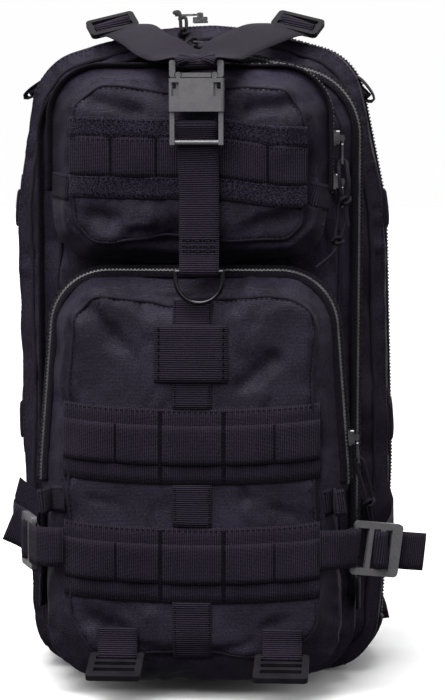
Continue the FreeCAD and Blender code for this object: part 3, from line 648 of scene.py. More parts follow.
def crumple(obj, outline, front, creases=(), panel=None, zip_band=None, proud=1.5, ripple=1.0,
            sides=None):
    """Seam grooves, folds and small wrinkles, kept inside the outline and clear of the zipper."""
    subdivided(obj)
    points = positions(obj)
    direction = normals(obj)
    for i, (point, normal) in enumerate(zip(points, direction)):
        x, y, z = point
        at = Vector((x, y, z))
        warp = noise.noise_vector(at * 0.02) * 9
        move = ripple * 1.5 * (noise.noise(at * 0.018 + warp * 0.02) + 0.35 * noise.noise(at * 0.05))
        fold = noise.noise(Vector((x * 0.05 + y * 0.02, y * 0.035, z * 0.017)) + warp * 0.03)
        move -= ripple * 1.6 * max(0.0, 0.16 - abs(fold)) / 0.16
        facing = max(0.0, -normal[1])
        swell_at = Vector((x * 0.021 + z * 0.006, 3.0, z * 0.016 - x * 0.008)) + warp * 0.012
        move += facing * ripple * 5.2 * noise.noise(swell_at)
        move += facing * ripple * 2.3 * noise.noise(Vector((x * 0.055 + z * 0.03, 7.0, z * 0.05 - x * 0.02)))
        if panel:
            seam = panel.offset(x, z)[0]
            move -= facing * 2.3 * math.exp(-(seam / 2.2) ** 2)
            pucker = math.exp(-abs(seam + 5) / 9) * noise.noise(Vector((x, 0, z)) * 0.13)
            move += facing * 1.2 * pucker
        for crease in creases:
            distance, share = to_line(x + warp.x * 0.25, z + warp.z * 0.25, crease)
            width, depth = crease[4:6]
            ends = min(1.0, 4 * share + 0.15, 4 * (1 - share) + 0.15)
            move += facing * 1.7 * depth * ends * math.exp(-(distance / (0.8 * width)) ** 2)
        point += normal * move
        near_zip = zip_band and abs(y - zip_band[0]) < 8 and z > zip_band[1] - 4
        drawn = near_zip
        limit = -0.35 if near_zip else proud
        outside, outward = outline.offset(point[0], point[2])
        if sides and sides[0] < y < sides[1] and outside > -14 and not near_zip:
            limit = -0.9 + 1.1 * noise.noise(at * 0.03) + 0.8 * noise.noise(Vector((y, z, x)) * 0.07)
            drawn = True
        if outside > limit or (drawn and outside > -14):
            point[0] -= outward.x * (outside - limit)
            point[2] -= outward.y * (outside - limit)
        if panel:
            beyond = panel.offset(point[0], point[2])[0]
            if beyond > 0:
                inside = max(0.0, -outline.offset(point[0], point[2])[0])
                share = beyond / (beyond + inside + 1e-6)
                slope = front + 1.2 + (zip_band[0] + 1.0 - front) * share ** 0.8
                slope += 1.3 * noise.noise(Vector((point[0], 9, point[2])) * 0.05)
                slope += 2.4 * (share * (1 - share)) * noise.noise(Vector((point[0], 4, point[2])) * 0.11) * 4
                point[1] = max(point[1], slope)
        if point[1] < front - 1.0:
            point[1] = front - 1.0
        if point[2] < 0.3:
            point[2] = 0.3
    set_positions(obj, points)
    relax(obj, 1, 0.35)


ZIPS = {
    # outline, depth, lowest height, how far the tape faces the front, left and right, in degrees
    "main": (MAIN, 37.0, 20.0, (0.0, 0.0)),
    "middle": (MIDDLE, -50.0, 60.0, (-15.0, 32.0)),
    "upper": (UPPER, -85.0, 330.0, (-25.0, -5.0)),
    "lower": (LOWER, -94.0, 140.0, (36.0, 36.0)),
}
main_bag = bag_solid("main_bag", MAIN, -20, 92, 16, 14, 2.0, 6.0)
middle_bag = bag_solid("middle_bag", MIDDLE, -62, -19, 6, 3, 2.0, 5.0)
upper_bag = bag_solid("upper_bag", UPPER, -112, -61, 14, 3, 3.0, 4.4)
lower_bag = bag_solid("lower_bag", LOWER, -118, -61, 17, 3, 3.0, 4.8)


def pad_outline(low_x, high_x):
    """Rounded upright outline of a back pad."""
    middle = (low_x + high_x) / 2
    half = (high_x - low_x) / 2
    return Outline([(half, 60, 18), (half, 390, 22)], centre=middle)


pads = [bag_solid("back_pad_" + side, pad_outline(*span), 92.2, 100.4, 3, 3, 0.6, 4.0)
        for side, span in (("left", (-98, -10)), ("right", (10, 98)))]
swell([main_bag, middle_bag, upper_bag, lower_bag] + pads, [4.5, 4.0, 5.0, 5.0, 3.0, 3.0])
for bag in (main_bag, middle_bag, upper_bag, lower_bag):
    relax(bag, 2, 0.4)

crumple(main_bag, MAIN, -20, zip_band=ZIPS["main"][1:3], proud=1.0, ripple=1.1, sides=(-6, 79),
        creases=[(100, 440, 60, 446, 5, -1.5)])
crumple(middle_bag, MIDDLE, -62, panel=MIDDLE_PANEL, zip_band=ZIPS["middle"][1:3], proud=1.2, ripple=1.2,
        sides=(-55, -20), creases=[(-60, 420, -25, 402, 5, -3), (30, 414, 70, 404, 6, -3), (98, 395, 88, 300, 6, -2)])
crumple(upper_bag, UPPER, -112, panel=UPPER_PANEL, zip_band=ZIPS["upper"][1:3], proud=1.2, ripple=1.0,
        creases=[(-70, 392, -30, 381, 7, -3.0), (-74, 384, -44, 379, 5, 1.8), (74, 388, 28, 381, 8, -3.2),
                 (64, 392, 30, 394, 6, 1.6), (-74, 318, -40, 311, 7, -2.4), (-64, 300, -18, 318, 8, 2.2),
                 (68, 316, 30, 305, 8, -1.6), (26, 318, 70, 322, 6, 1.6), (-20, 303, -62, 309, 5, -1.8),
                 (-82, 330, -78, 300, 5, -2.0), (80, 345, 76, 322, 6, -1.4)])
crumple(lower_bag, LOWER, -118, panel=LOWER_PANEL, zip_band=ZIPS["lower"][1:3], proud=1.2, ripple=1.0,
        creases=[(-72, 262, -34, 222, 7, -2.8), (-60, 262, -22, 240, 6, 1.8), (-76, 250, -58, 214, 6, 1.6),
                 (76, 258, 36, 232, 8, 2.2), (60, 232, 24, 200, 7, -2.8), (72, 222, 40, 198, 6, 1.8),
                 (-70, 136, -30, 126, 6, -2.0), (70, 140, 32, 124, 7, 2.0), (28, 136, 62, 128, 6, -2.0),
                 (-74, 60, -30, 36, 8, -2.6), (-60, 38, -20, 48, 7, 2.0), (72, 62, 30, 38, 8, -2.8),
                 (64, 36, 22, 50, 7, 2.2), (10, 32, 44, 44, 6, -2.0), (-20, 266, 12, 256, 6, -2.0)])
for pad in pads:
    subdivided(pad)
    points = positions(pad)
    for point in points:
        behind = point[1] - 94.0
        if behind > 0:
            for channel in (126, 194, 262, 330):
                point[1] -= min(behind, 4.5 * math.exp(-((point[2] - channel) / 3.6) ** 2))
        point[1] = min(point[1], 102.5)
    set_positions(pad, points)
    pad.data.materials[0] = MESH
for bag, replaced in ((main_bag, "main_compartment"), (middle_bag, "middle_compartment"),
                      (upper_bag, "upper_pocket"), (lower_bag, "lower_pocket")):
    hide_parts(replaced)
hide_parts("back_pads")
FRONT_TREE = tree_of(upper_bag, lower_bag, middle_bag)
MAIN_TREE = tree_of(main_bag)
ALL_TREE = tree_of(upper_bag, lower_bag, middle_bag, main_bag)


# ---------------------------------------------------------------- thread
class Threads:
    """All the stitches of one piece, gathered into one mesh."""

    def __init__(self):
        self.points = []
        self.faces = []

    def add(self, start, end, up, thick=0.34, rise=0.3):
        run = end - start
        if run.length < 0.1:
            return
        ahead = run.normalized()
        side = ahead.cross(up).normalized()
        lift = side.cross(ahead).normalized()
        base = len(self.points)
        self.points.append(start)
        for share in (0.22, 0.78):
            middle = start + run * share + lift * rise
            for a, b in ((1, 0), (0, 1), (-1, 0), (0, -1)):
                self.points.append(middle + side * (a * thick) + lift * (b * thick))
        self.points.append(end)
        for k in range(4):
            j = (k + 1) % 4
            self.faces.append((base, base + 1 + j, base + 1 + k))
            self.faces.append((base + 1 + k, base + 1 + j, base + 5 + j, base + 5 + k))
            self.faces.append((base + 9, base + 5 + k, base + 5 + j))

    def line(self, path, up, pitch=3.4, length=2.2, thick=0.24):
        """Running stitches along a polyline that lies on the surface; up is a vector or one per point."""
        fine = resample(path, pitch / 2)
        for i in range(0, len(fine) - 1, 2):
            ahead = fine[i + 1] - fine[i]
            lift = up(fine[i]) if callable(up) else Vector(up)
            self.add(fine[i], fine[i] + ahead * (length / max(ahead.length, 1e-6)), lift, thick)

    def tack(self, low, high, up, width=2.6, pitch=0.85):
        """Bar tack: close zigzag between two points."""
        run = high - low
        side = run.cross(Vector(up)).normalized() * (width / 2)
        count = max(2, round(run.length / pitch))
        for i in range(count):
            a = low + run * (i / count)
            b = low + run * ((i + 0.9) / count)
            flip = side if i % 2 else -side
            self.add(a - flip, b + flip, Vector(up), 0.36, 0.35)

    def tacks(self, spots, up, width):
        """Bar tacks from spot to spot."""
        for low, high in zip(spots[:-1], spots[1:]):
            self.tack(low, high, up, width)

    def finish(self, name, body="pack"):
        made = build(name, self.points, self.faces, THREAD, body)
        return made


def on_surface(tree, point, direction, lift=0.0):
    """Where a ray from in front of the point meets the surface, lifted back towards the viewer."""
    way = Vector(direction)
    hit = tree.ray_cast(Vector(point) - way * 80, way, 160)
    if hit[0] is None:
        return Vector(point)
    return hit[0] - way * lift


# ---------------------------------------------------------------- webbing
def strap(name, path, across, width, thick=1.5, finish=None, body="pack", columns=6, crown=0.0,
          edge=0.45):
    """Webbing along a path of points. across is one direction or one per point; crown makes the
    middle thicker, as on a pad."""
    line = [Vector(p) for p in path]
    count = len(line)
    sides = across if isinstance(across, list) else [Vector(across)] * count
    points = []
    uv = []
    run = 0.0
    ring = 2 * (columns + 1)
    for i, here in enumerate(line):
        ahead = (line[min(i + 1, count - 1)] - line[max(i - 1, 0)]).normalized()
        side = (sides[i] - ahead * sides[i].dot(ahead)).normalized()
        up = ahead.cross(side)
        half = (width[i] if isinstance(width, (list, tuple)) else width) / 2
        if i:
            run += (here - line[i - 1]).length
        for face in (1, -1):
            for k in range(columns + 1):
                share = 2 * k / columns - 1 if face == 1 else 1 - 2 * k / columns
                body_thick = thick / 2 * (1 - abs(share) ** 6 * (1 - edge)) + crown * (1 - share ** 2)
                points.append(here + side * (half * share) + up * (face * body_thick))
                uv.append((half * share * MM, run * MM))
    faces = []
    for i in range(count - 1):
        a = i * ring
        for k in range(ring):
            j = (k + 1) % ring
            faces.append((a + k, a + j, a + ring + j, a + ring + k))
    faces.append(tuple(range(ring))[::-1])
    faces.append(tuple((count - 1) * ring + k for k in range(ring)))
    made = build(name, points, faces, finish or WEBBING, body, uv)
    return made


def laid(name, spine, across, width, tree, direction, thick=1.3, lift=0.0, finish=None, columns=8,
         raise_at=None, smooth=3):
    """Band sewn flat on a surface: every point of its grid is dropped onto the fabric beneath."""
    line = resample(spine, 3.0)
    way = Vector(direction).normalized()
    side = Vector(across).normalized()
    depth = np.full((len(line), columns + 1), np.nan)
    for i, here in enumerate(line):
        for k in range(columns + 1):
            start = here + side * (width * (k / columns - 0.5)) - way * 80
            hit = tree.ray_cast(start, way, 160)
            if hit[0] is not None:
                depth[i, k] = hit[3]
    known = np.nanmedian(depth)
    depth = np.where(np.isnan(depth), known, depth)
    depth = np.minimum(depth, np.median(depth) + 6)
    flat = depth.copy()
    for _ in range(smooth):
        for axis in (0, 1):
            ahead = np.concatenate([np.take(flat, range(1, flat.shape[axis]), axis),
                                    np.take(flat, [-1], axis)], axis)
            behind = np.concatenate([np.take(flat, [0], axis),
                                     np.take(flat, range(0, flat.shape[axis] - 1), axis)], axis)
            flat = np.minimum((flat * 2 + ahead + behind) / 4, depth + 0.5)
    points = []
    uv = []
    for layer in (0, 1):
        for i, here in enumerate(line):
            for k in range(columns + 1):
                share = 2 * k / columns - 1
                height = lift + 0.15 + (thick * (1 - 0.5 * abs(share) ** 8) if layer == 0 else -0.3)
                if raise_at and layer == 0:
                    height += raise_at(here)
                start = here + side * (width * (k / columns - 0.5)) - way * 80
                points.append(start + way * (flat[i, k] - height))
                uv.append((width * share / 2 * MM, i * 3.0 * MM))
    row = columns + 1
    back = row * len(line)
    faces = []
    for i in range(len(line) - 1):
        for k in range(columns):
            a = i * row + k
            faces.append((a, a + 1, a + 1 + row, a + row))
            faces.append((back + a, back + a + row, back + a + 1 + row, back + a + 1))
        for k in (0, columns):
            a = i * row + k
            edge = (a, a + row, back + a + row, back + a)
            faces.append(edge if k == 0 else edge[::-1])
    for i in (0, len(line) - 1):
        for k in range(columns):
            a = i * row + k
            edge = (a, back + a, back + a + 1, a + 1)
            faces.append(edge if i == 0 else edge[::-1])
    made = build(name, points, faces, finish or WEBBING, "pack", uv)
    return made


FRONT = (0, 1, 0)
POCKET_Y = -118.0         # front of the lower pocket, where rays towards the pockets are aimed

def on_front(tree, x, z, lift):
    """Point of a surface at (x, z), as seen from the front."""
    return on_surface(tree, (x, POCKET_Y, z), FRONT, lift)


def row_line(low_x, high_x, z, sag):
    """Spine of a cross row whose height follows sag(x)."""
    return [(x, POCKET_Y, z + sag(x)) for x in np.linspace(low_x, high_x, 30)]


def lower_sag(x):
    return 1.6 - 4.6 * (1 - (x / 83) ** 2)


def upper_sag(x):
    return 0.8 - 5.5 * smoothstep(10, 62, x) + 1.2 * smoothstep(-30, -78, x)


def bulging(rise, reach, tacks):
    """How far webbing lifts between its tacks."""
    return lambda here: rise * smoothstep(0, reach, min(abs(here.x - t) for t in tacks))

stitches = Threads()
front_pieces = []
for number, low in enumerate((146.0, 69.0)):
    backing = laid("pals_backing_" + "ab"[number], row_line(-83, 83, low + 24.5, lower_sag), (0, 0, 1), 49,
                   FRONT_TREE, FRONT)
    tree = tree_of(backing)
    row = laid("pals_row_" + "ab"[number], row_line(-83, 83, low + 25.6, lower_sag), (0, 0, 1), WEB,
               tree, FRONT, raise_at=bulging(1.1, 9, (-83, -49, -20, 21, 53.5, 83)))
    both = tree_of(backing, row)
    for x, width, full in ((-20, 2.9, True), (21, 2.9, True), (-49, 1.6, False), (53.5, 1.6, False)):
        base = low + lower_sag(x)
        ends = (base + 1.5, base + 47.5) if full else (base + 13.5, base + 38)
        steps = np.linspace(ends[0], ends[1], 8)
        spots = [on_front(both, x, z, 0.1) for z in steps]
        stitches.tacks(spots, (0, -1, 0), width)
    for edge in (1.6, 47.4):
        path = [on_front(both, x, low + edge + lower_sag(x), 0.05)
                for x in np.linspace(-82, 82, 60)]
        stitches.line(path, (0, -1, 0))
    front_pieces += [backing, row]
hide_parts("pals_backing")
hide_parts("pals_webbing")

UPPER_TREE = tree_of(upper_bag)
loops = []
for number, (low, high) in enumerate(((326.5, 340.0), (365.0, 377.0))):
    loops.append(laid("loop_strip_" + "ab"[number], row_line(-79.5, 74, (low + high) / 2, upper_sag),
                      (0, 0, 1), high - low + 1.5, UPPER_TREE, FRONT, thick=1.7, finish=LOOP))
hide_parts("loop_strips")



upper_row = laid("upper_row", row_line(-79.5, 74, 352.5, upper_sag), (0, 0, 1), WEB, UPPER_TREE, FRONT,
                 raise_at=bulging(0.9, 8, (-79, -52, -23, 5, 49, 74)))
upper_both = tree_of(upper_bag, upper_row, *loops)
for x in (-52, -23, 49):
    base = 352.5 + upper_sag(x)
    spots = [on_front(upper_both, x, z, 0.1) for z in np.linspace(base - 12.4, base + 12.4, 6)]
    stitches.tacks(spots, (0, -1, 0), 1.9)
for z in (328.2, 338.6, 341.8, 363.4, 366.6, 375.6):
    path = [on_front(upper_both, x, z + upper_sag(x), 0.05) for x in np.linspace(-79, 73, 60)]
    stitches.line(path, (0, -1, 0), 3.2, 2.1, 0.22)

centre_parts = []
for number, (low, high) in enumerate(((30, 67), (116, 143), (192, 262))):
    centre_parts.append(laid("centre_webbing_" + "abc"[number], [(0.7, POCKET_Y, low), (0.7, POCKET_Y, high)],
                             (1, 0, 0), WEB, tree_of(lower_bag), FRONT, thick=1.2))
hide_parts("centre_webbing")
for number, (low, high) in enumerate(((30, 67), (116, 143), (192, 262))):
    tree = tree_of(centre_parts[number])
    for x in (-10.4, 11.8):
        path = [on_front(tree, x, z, 0.05) for z in np.linspace(low + 1, high - 1, 20)]
        stitches.line(path, (0, -1, 0), 3.2, 2.3, 0.3)
patch = laid("loop_patch_square", [(0, POCKET_Y, 209.5), (0, POCKET_Y, 246)], (1, 0, 0), 47.5,
             tree_of(lower_bag, centre_parts[2]), FRONT, thick=1.7)
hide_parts("loop_patch")
patch_tree = tree_of(patch)
for x in (-20.8, 20.8):
    spots = [on_front(patch_tree, x, z, 0.1) for z in np.linspace(211.5, 244, 9)]
    stitches.line(spots, (0, -1, 0), 4.4, 3.4, 0.62)
path = [on_front(patch_tree, x, 211, 0.1) for x in np.linspace(-22, 22, 12)]
stitches.line(path, (0, -1, 0), 2.6, 2.0, 0.4)
stitches.finish("front_stitching")


# Cross rows on both sides of the main compartment.
side_threads = Threads()
for side in (-1, 1):
    way = (-side, 0, 0)
    label = "right" if side > 0 else "left"
    for number, low in enumerate((297.0, 150.0)):
        for part, (start, end) in enumerate(((0, 24), (50, 76))):
            laid("side_backing_%s_%s%s" % (label, "ab"[number], "fr"[part]),
                 [(side * SIDE_X, start, low + 23), (side * SIDE_X, end, low + 23)], (0, 0, 1), 46, MAIN_TREE, way,
                 thick=1.1)
        row = laid("side_row_%s_%s" % (label, "ab"[number]),
                   [(side * SIDE_X, 0, low + 23), (side * SIDE_X, 76, low + 23)],
                   (0, 0, 1), WEB, MAIN_TREE, way, lift=1.5, smooth=6)
        tree = tree_of(row)
        for y in (3, 21, 53, 73):
            spots = [on_surface(tree, (side * SIDE_X, y, z), way, 0.1)
                     for z in np.linspace(low + 11.5, low + 34.5, 5)]
            side_threads.tacks(spots, (side, 0, 0), 2.4)
side_threads.finish("side_stitching")


# ---------------------------------------------------------------- seams and piping
def seam(name, outline, grow, y, tree, radius, lift=0.3):
    """Bound edge that follows an outline, lying on the fabric."""
    made = []
    for point in outline.ring(grow, y):
        found = tree.find_nearest(point)
        made.append(found[0] + found[1] * lift)
    count = len(made)
    for _ in range(6):
        made = [(made[i - 1] + made[i] * 2 + made[(i + 1) % count]) / 4 for i in range(count)]
    tube(name, made, radius, BINDING, closed=True)

seam_threads = Threads()
LOWER_TREE = tree_of(lower_bag)
MIDDLE_TREE = tree_of(middle_bag)
seam("upper_panel_piping", UPPER_PANEL, 0.0, -112, UPPER_TREE, 0.95, lift=0.1)
seam("lower_panel_piping", LOWER_PANEL, 0.0, -118, LOWER_TREE, 1.0, lift=0.1)
seam("middle_front_binding", MIDDLE_PANEL, 0.0, -61, MIDDLE_TREE, 1.2)
seam("main_front_binding", MAIN, -5.0, -16, MAIN_TREE, 1.5)
seam("main_back_binding", MAIN, -4.0, 88, MAIN_TREE, 1.6)
for outline, grow, y, tree in ((UPPER_PANEL, -3.2, -112, UPPER_TREE), (LOWER_PANEL, -3.2, -118, LOWER_TREE),
                               (MAIN, -1.0, -8, MAIN_TREE), (MAIN, -1.0, 80, MAIN_TREE)):
    path = []
    for point in outline.ring(grow, y):
        found = tree.find_nearest(point)
        path.append(found[0] + found[1] * 0.05)
    path.append(path[0])

    def away(point, tree=tree):
        return tree.find_nearest(point)[1]

    seam_threads.line(path, away, 3.4, 2.2, 0.2)
seam_threads.finish("seam_stitching")


# ---------------------------------------------------------------- zippers
TOOTH_PITCH = 1.2
BEAD = (0.95, 1.7)        # half width and top of every second tooth, the one that shows
LOW_TOOTH = (1.6, 0.95)   # the same for the low ones between

def zipper(name, outline, y, low, tilt):
    """Tape on the fabric with coil beads along its middle, turned towards the front."""
    indices = outline.arc(low)
    level = [Vector((outline.normals[i].x, 0, outline.normals[i].y)) for i in indices]
    line = []
    out = []
    sides = []
    for i, n in zip(indices, level):
        here = outline.points[i]
        turn = math.radians(tilt[0] + (tilt[1] - tilt[0]) * smoothstep(-30, 40, here.x))
        line.append(Vector((here.x, y, here.y)) - n * (1.6 * abs(math.sin(turn))))
        out.append(n * math.cos(turn) + Vector((0, -math.sin(turn), 0)))
        sides.append(Vector((0, math.cos(turn), 0)) + n * math.sin(turn))
    tape = strap(name + "_zip_tape", [p - n * 0.4 for p, n in zip(line, out)], sides, 12.0, 2.4, TAPE,
                 columns=6)
    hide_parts(name + "_zipper")
    fine = resample(line, TOOTH_PITCH)
    points = []
    faces = []
    for i in range(len(fine) - 1):
        ahead = (fine[i + 1] - fine[i]).normalized()
        near = min(len(out) - 1, round(i * len(out) / len(fine)))
        up = out[near]
        side = sides[near]
        base = len(points)
        half, top = BEAD if i % 2 else LOW_TOOTH
        for a in (-0.55, 0.55):
            for across, height in ((-half, 0.5), (-half, top - 0.5), (-half * 0.4, top),
                                   (half * 0.4, top), (half, top - 0.5), (half, 0.5)):
                points.append(fine[i] + ahead * a + side * across + up * height)
        for k in range(6):
            j = (k + 1) % 6
            faces.append((base + k, base + j, base + 6 + j, base + 6 + k))
        faces.append(tuple(base + 5 - k for k in range(6)))
        faces.append(tuple(base + 6 + k for k in range(6)))
    teeth = build(name + "_zip_coil", points, faces, PAINTED_GLINT_COIL, smooth=False)
    return line, out, sides


zip_threads = Threads()
for name, (outline, y, low, tilt) in ZIPS.items():
    line, out, sides = zipper(name, outline, y, low, tilt)
    for side in (-4.6, 4.6):
        for i in range(0, len(line) - 1, 2):
            a = line[i] + sides[i] * side + out[i] * 0.74
            b = line[i + 1] + sides[i + 1] * side + out[i + 1] * 0.74
            zip_threads.add(a, b, out[i], 0.2, 0.1)
zip_threads.finish("zip_stitching")


def zip_end(name, outline, y, low, width=15.0):
    """Folded cloth tabs over both ends of a zipper."""
    indices = outline.arc(low)
    for label, i, step in (("right", indices[0], 1), ("left", indices[-1], -1)):
        rows = []
        for k in range(-2, 3):
            j = (i + step * k * 2) % len(outline.points)
            point = outline.points[j]
            normal = outline.normals[j]
            rows.append(Vector((point.x + normal.x * 1.6, y, point.y + normal.y * 1.6)))
        made = strap("%s_zip_end_%s" % (name, label), rows, (0, 1, 0), width, 2.0, PAINTED_SHADE_FABRIC, columns=6, crown=0.5)


def zip_cover(name, tree, low_x, high_x, z, slant, threads):
    """Square of webbing sewn across a pocket gusset where its zipper ends."""
    line = []
    for share in np.linspace(0, 1, 10):
        x = low_x + (high_x - low_x) * share
        line.append(on_front(tree, x, z + slant * share, 0.7))
    strap(name, line, (0, 0, 1), 17.0, 1.7, WEBBING, columns=8)
    for height in (-6.6, 6.6):
        threads.line([p + Vector((0, -1.0, height)) for p in line], (0, -1, 0), 3.0, 2.0, 0.3)


zip_end("middle", MIDDLE, -50, 62)
zip_end("main", MAIN, 37, 22)
cover_threads = Threads()
zip_cover("upper_zip_cover_left", UPPER_TREE, -93.6, -79.5, 336, -2, cover_threads)
zip_cover("upper_zip_cover_right", UPPER_TREE, 75.5, 87.6, 330, -3, cover_threads)
zip_cover("lower_zip_cover_left", LOWER_TREE, -99.0, -83.0, 131, 2, cover_threads)
zip_cover("lower_zip_cover_right", LOWER_TREE, 85.0, 99.5, 131, 2, cover_threads)
cover_threads.finish("cover_stitching")


# ---------------------------------------------------------------- front strap, ring and buckle
def arc_points(centre, radius, start, end, x, count=9):
    """Points of an arc in the YZ plane; angles from +Y towards +Z in degrees."""
    made = []
    for k in range(count):
        angle = math.radians(start + (end - start) * k / (count - 1))
        made.append((x, centre[0] + radius * math.cos(angle), centre[1] + radius * math.sin(angle)))
    return made


STRAP_X = 5.5
BUCKLE_X = 4.5
front = [(STRAP_X, -116.4, 306.0), (STRAP_X, -118.5, 296.0)]
front += arc_points((-121.6, 280.5), 2.5, 20, -200, STRAP_X, 11)
front += [(STRAP_X, -122.2, 290), (STRAP_X, -121.6, 300), (STRAP_X, -121.6, 330), (5.1, -122.3, 350),
          (4.8, -123.4, 360), (4.6, -125.4, 366)]
front += arc_points((-126.4, 373.5), 2.5, 220, -15, BUCKLE_X, 10)
front += [(4.7, -121.6, 362), (STRAP_X, -119.4, 345), (STRAP_X, -118.9, 310)]
front_loop = strap("front_strap_webbing", resample(front, 2.2), (1, 0, 0), WEB, 1.4)
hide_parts("front_strap")
strap_threads = Threads()
spot = tree_of(front_loop)
for z in (293.5, 296.5, 300.5):
    path = [on_surface(spot, (x, -121, z + 0.6 * math.sin(x)), FRONT, 0.1) for x in np.linspace(-5.5, 16.5, 16)]
    strap_threads.line(path, (0, -1, 0), 2.4, 2.0, 0.42)
strap_threads.finish("strap_stitching")

# The two arms meet in one webbing that folds round the plug's bar.
for side in (-1, 1):
    path = [(BUCKLE_X, -127.0, 409.6), (BUCKLE_X, -129.6, 411.2), (BUCKLE_X, -129.4, 414.6),
            (BUCKLE_X + side * 3.0, -126.0, 416.4), (BUCKLE_X + side * 11, -116, 418),
            (side * 26.5, -84, 426), (side * 41, -45, 435.4), (side * 54, -16, 440.3), (side * 60.8, -5.4, 440.2),
            (side * 62, -3.9, 442.7), (side * 63.5, -3, 447.4), (side * 65.2, 2.0, 447.4),
            (side * 66.8, 5.6, 446.5), (side * 69, 10, 442.5)]
    line = smooth_path(path, 2.0)
    sides = []
    for i in range(len(line)):
        along = i / (len(line) - 1)
        share = smoothstep(0.08, 0.3, along)
        level = smoothstep(0.55, 0.85, along)
        flat = Vector((0.86, -0.4 * side, -0.33 * side))
        turned = Vector((0.80, -0.26 * side, -0.54 * side)).lerp(flat, level)
        sides.append(Vector((1, 0, 0)).lerp(turned, share).normalized())
    piece = strap("y_strap_arm_" + ("right" if side > 0 else "left"), line, sides, WEB, 1.4, body=None)
    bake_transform(piece)
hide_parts("y_strap")
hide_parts("y_strap_loop")


# ---------------------------------------------------------------- ladder locks and their webbing
def lock_axes(along, hinge):
    x = Vector(along).normalized()
    z = x.cross(Vector(hinge)).normalized()
    return x, z.cross(x), z


def lock_point(origin, axes, along, off):
    return Vector(origin) + axes[0] * along + axes[2] * off


def tab(name, sewn, bar, up, across, width=WEB, radius=2.6):
    """Webbing folded round a lock's bar and sewn down at its other end."""
    sewn = [Vector(p) for p in sewn]
    bar = Vector(bar)
    out = Vector(up).normalized()
    ahead = (bar - sewn[-1])
    ahead = (ahead - Vector(across).normalized() * ahead.dot(Vector(across).normalized())).normalized()
    out = (out - ahead * out.dot(ahead)).normalized()
    path = [p + out * 1.0 for p in sewn]
    for k in range(9):
        angle = math.radians(180 * k / 8)
        path.append(bar + (out * math.cos(angle) + ahead * math.sin(angle)) * radius)
    path += [p - out * 0.6 for p in reversed(sewn)]
    return strap(name, resample(path, 1.6), across, width, 1.4)


RIGHT_AXES = lock_axes((0.94, 0.34, -0.12), (0.12, 0, 0.99))
LEFT_AXES = lock_axes((-0.34, 0.94, 0), (0, 0, -1))
tab("side_tab_right", [(83.5, -119.8, 102), (92, -119.6, 102), (98.5, -115.5, 102)], (105, -106, 102),
                (0.5, -0.85, 0), RIGHT_AXES[1])
tab("side_tab_left", [(-83.5, -119.8, 102), (-92, -119.4, 102), (-99.5, -115.5, 102)],
                (-104.8, -102, 102), (-0.6, -0.8, 0), LEFT_AXES[1])
tab("base_tab_right", [(59, -119.6, 50), (59, -119.9, 41)], (59, -122, 32), (0, -1, 0), (1, 0, 0))
tab("base_tab_left", [(-47.5, -119.6, 50), (-47.5, -119.9, 41)], (-47.5, -122, 32), (0, -1, 0),
                (1, 0, 0))
for side, label in ((1, "right"), (-1, "left")):
    tab("shoulder_tab_" + label, [(side * 88.0, 121.6, 162), (side * 88.6, 120.6, 154)],
                    (side * 89.5, 119.5, 146), (0, 1, 0.1), (1, 0, 0))
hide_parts("buckle_tabs")
LIFTER_FOLDS = {
    "right": [(98, 30, 413), (106, 29, 409), (113, 28, 401), (115.5, 28, 395), (112, 28.5, 393.5), (107, 29, 396)],
    "left": [(-111, 30, 412), (-119, 29, 407), (-125.5, 28, 402), (-128.5, 28, 398), (-126, 28.5, 396.5),
             (-119, 29, 399)],
}
LIFTER_CORES = {
    "right": [(101, 29.5, 406), (107, 29, 401), (111, 28.5, 397)],
    "left": [(-113, 29.5, 406), (-120, 29, 402.6), (-125.4, 28.5, 399.2)],
}
for label, fold in LIFTER_FOLDS.items():
    strap("lifter_tab_" + label, smooth_path(fold, 2.0), (0, 1, 0.1), 22, 1.5)
    strap("lifter_core_" + label, smooth_path(LIFTER_CORES[label], 2.0), (0, 1, 0.1), 20, 5.0)

# Triangles of cloth that take each side strap into the seam.
for side, label in ((1, "right"), (-1, "left")):
    corners = [(110, -21.5, 122), (126.5, -19.5, 135), (130.2, -17.5, 122), (130.6, -17, 96), (117, -21, 96)]
    count = len(corners)
    points = [(side * x, y - 0.8, z) for x, y, z in corners] + [(side * x, y + 0.8, z) for x, y, z in corners]
    faces = [tuple(range(count)), tuple(range(2 * count - 1, count - 1, -1))]
    for k in range(count):
        faces.append((k, (k + 1) % count, count + (k + 1) % count, count + k))
    wing = build("side_wing_" + label, points, faces, PAINTED_SHADE_FABRIC, smooth=False)

RIGHT_LOCK = (105, -106, 102)
LEFT_LOCK = (-104.8, -102, 102)
THROUGH = [(13.7, -1.2), (13.9, 2.4), (17.8, 4.0), (21.7, 2.4), (21.9, -2.6)]
right_line = [(128.4, 10, 108), (129.2, -16, 108), (128.6, -58, 105), (124.4, -88, 102)]
right_line += [lock_point(RIGHT_LOCK, RIGHT_AXES, *p)
               for p in [(16.5, -4.4)] + THROUGH + [(27, -3.6), (38, -3.4), (50, -4.2)]]
left_line = [(-130.8, 8, 107), (-130.6, -20, 106), (-121, -38, 104), (-112.6, -54, 102.5)]
left_line += [lock_point(LEFT_LOCK, LEFT_AXES, *p) for p in [(22, -4.6), (15.5, -4.2)] + THROUGH + [(28, -3.4)]]
for along, off, rise in ((34, -1, 3), (39, 3, 5.5), (42, 8, 8)):
    left_line.append(lock_point(LEFT_LOCK, LEFT_AXES, along, off) + Vector((0, 0, rise)))
for label, line, start, end in (("right", right_line, (0.1304, -0.02, 0.108), (0.127, -0.07, 0.104)),
                                ("left", left_line, (-0.128, -0.022, 0.106), (-0.112, -0.056, 0.102))):
    path = smooth_path(line, 2.0)
    piece = strap("compression_strap_" + label, path, (0, 0, 1), 24.6, 1.35, body=None)
    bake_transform(piece)
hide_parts("compression_webbing", "compression_tail_right")
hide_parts("compression_tail_left")


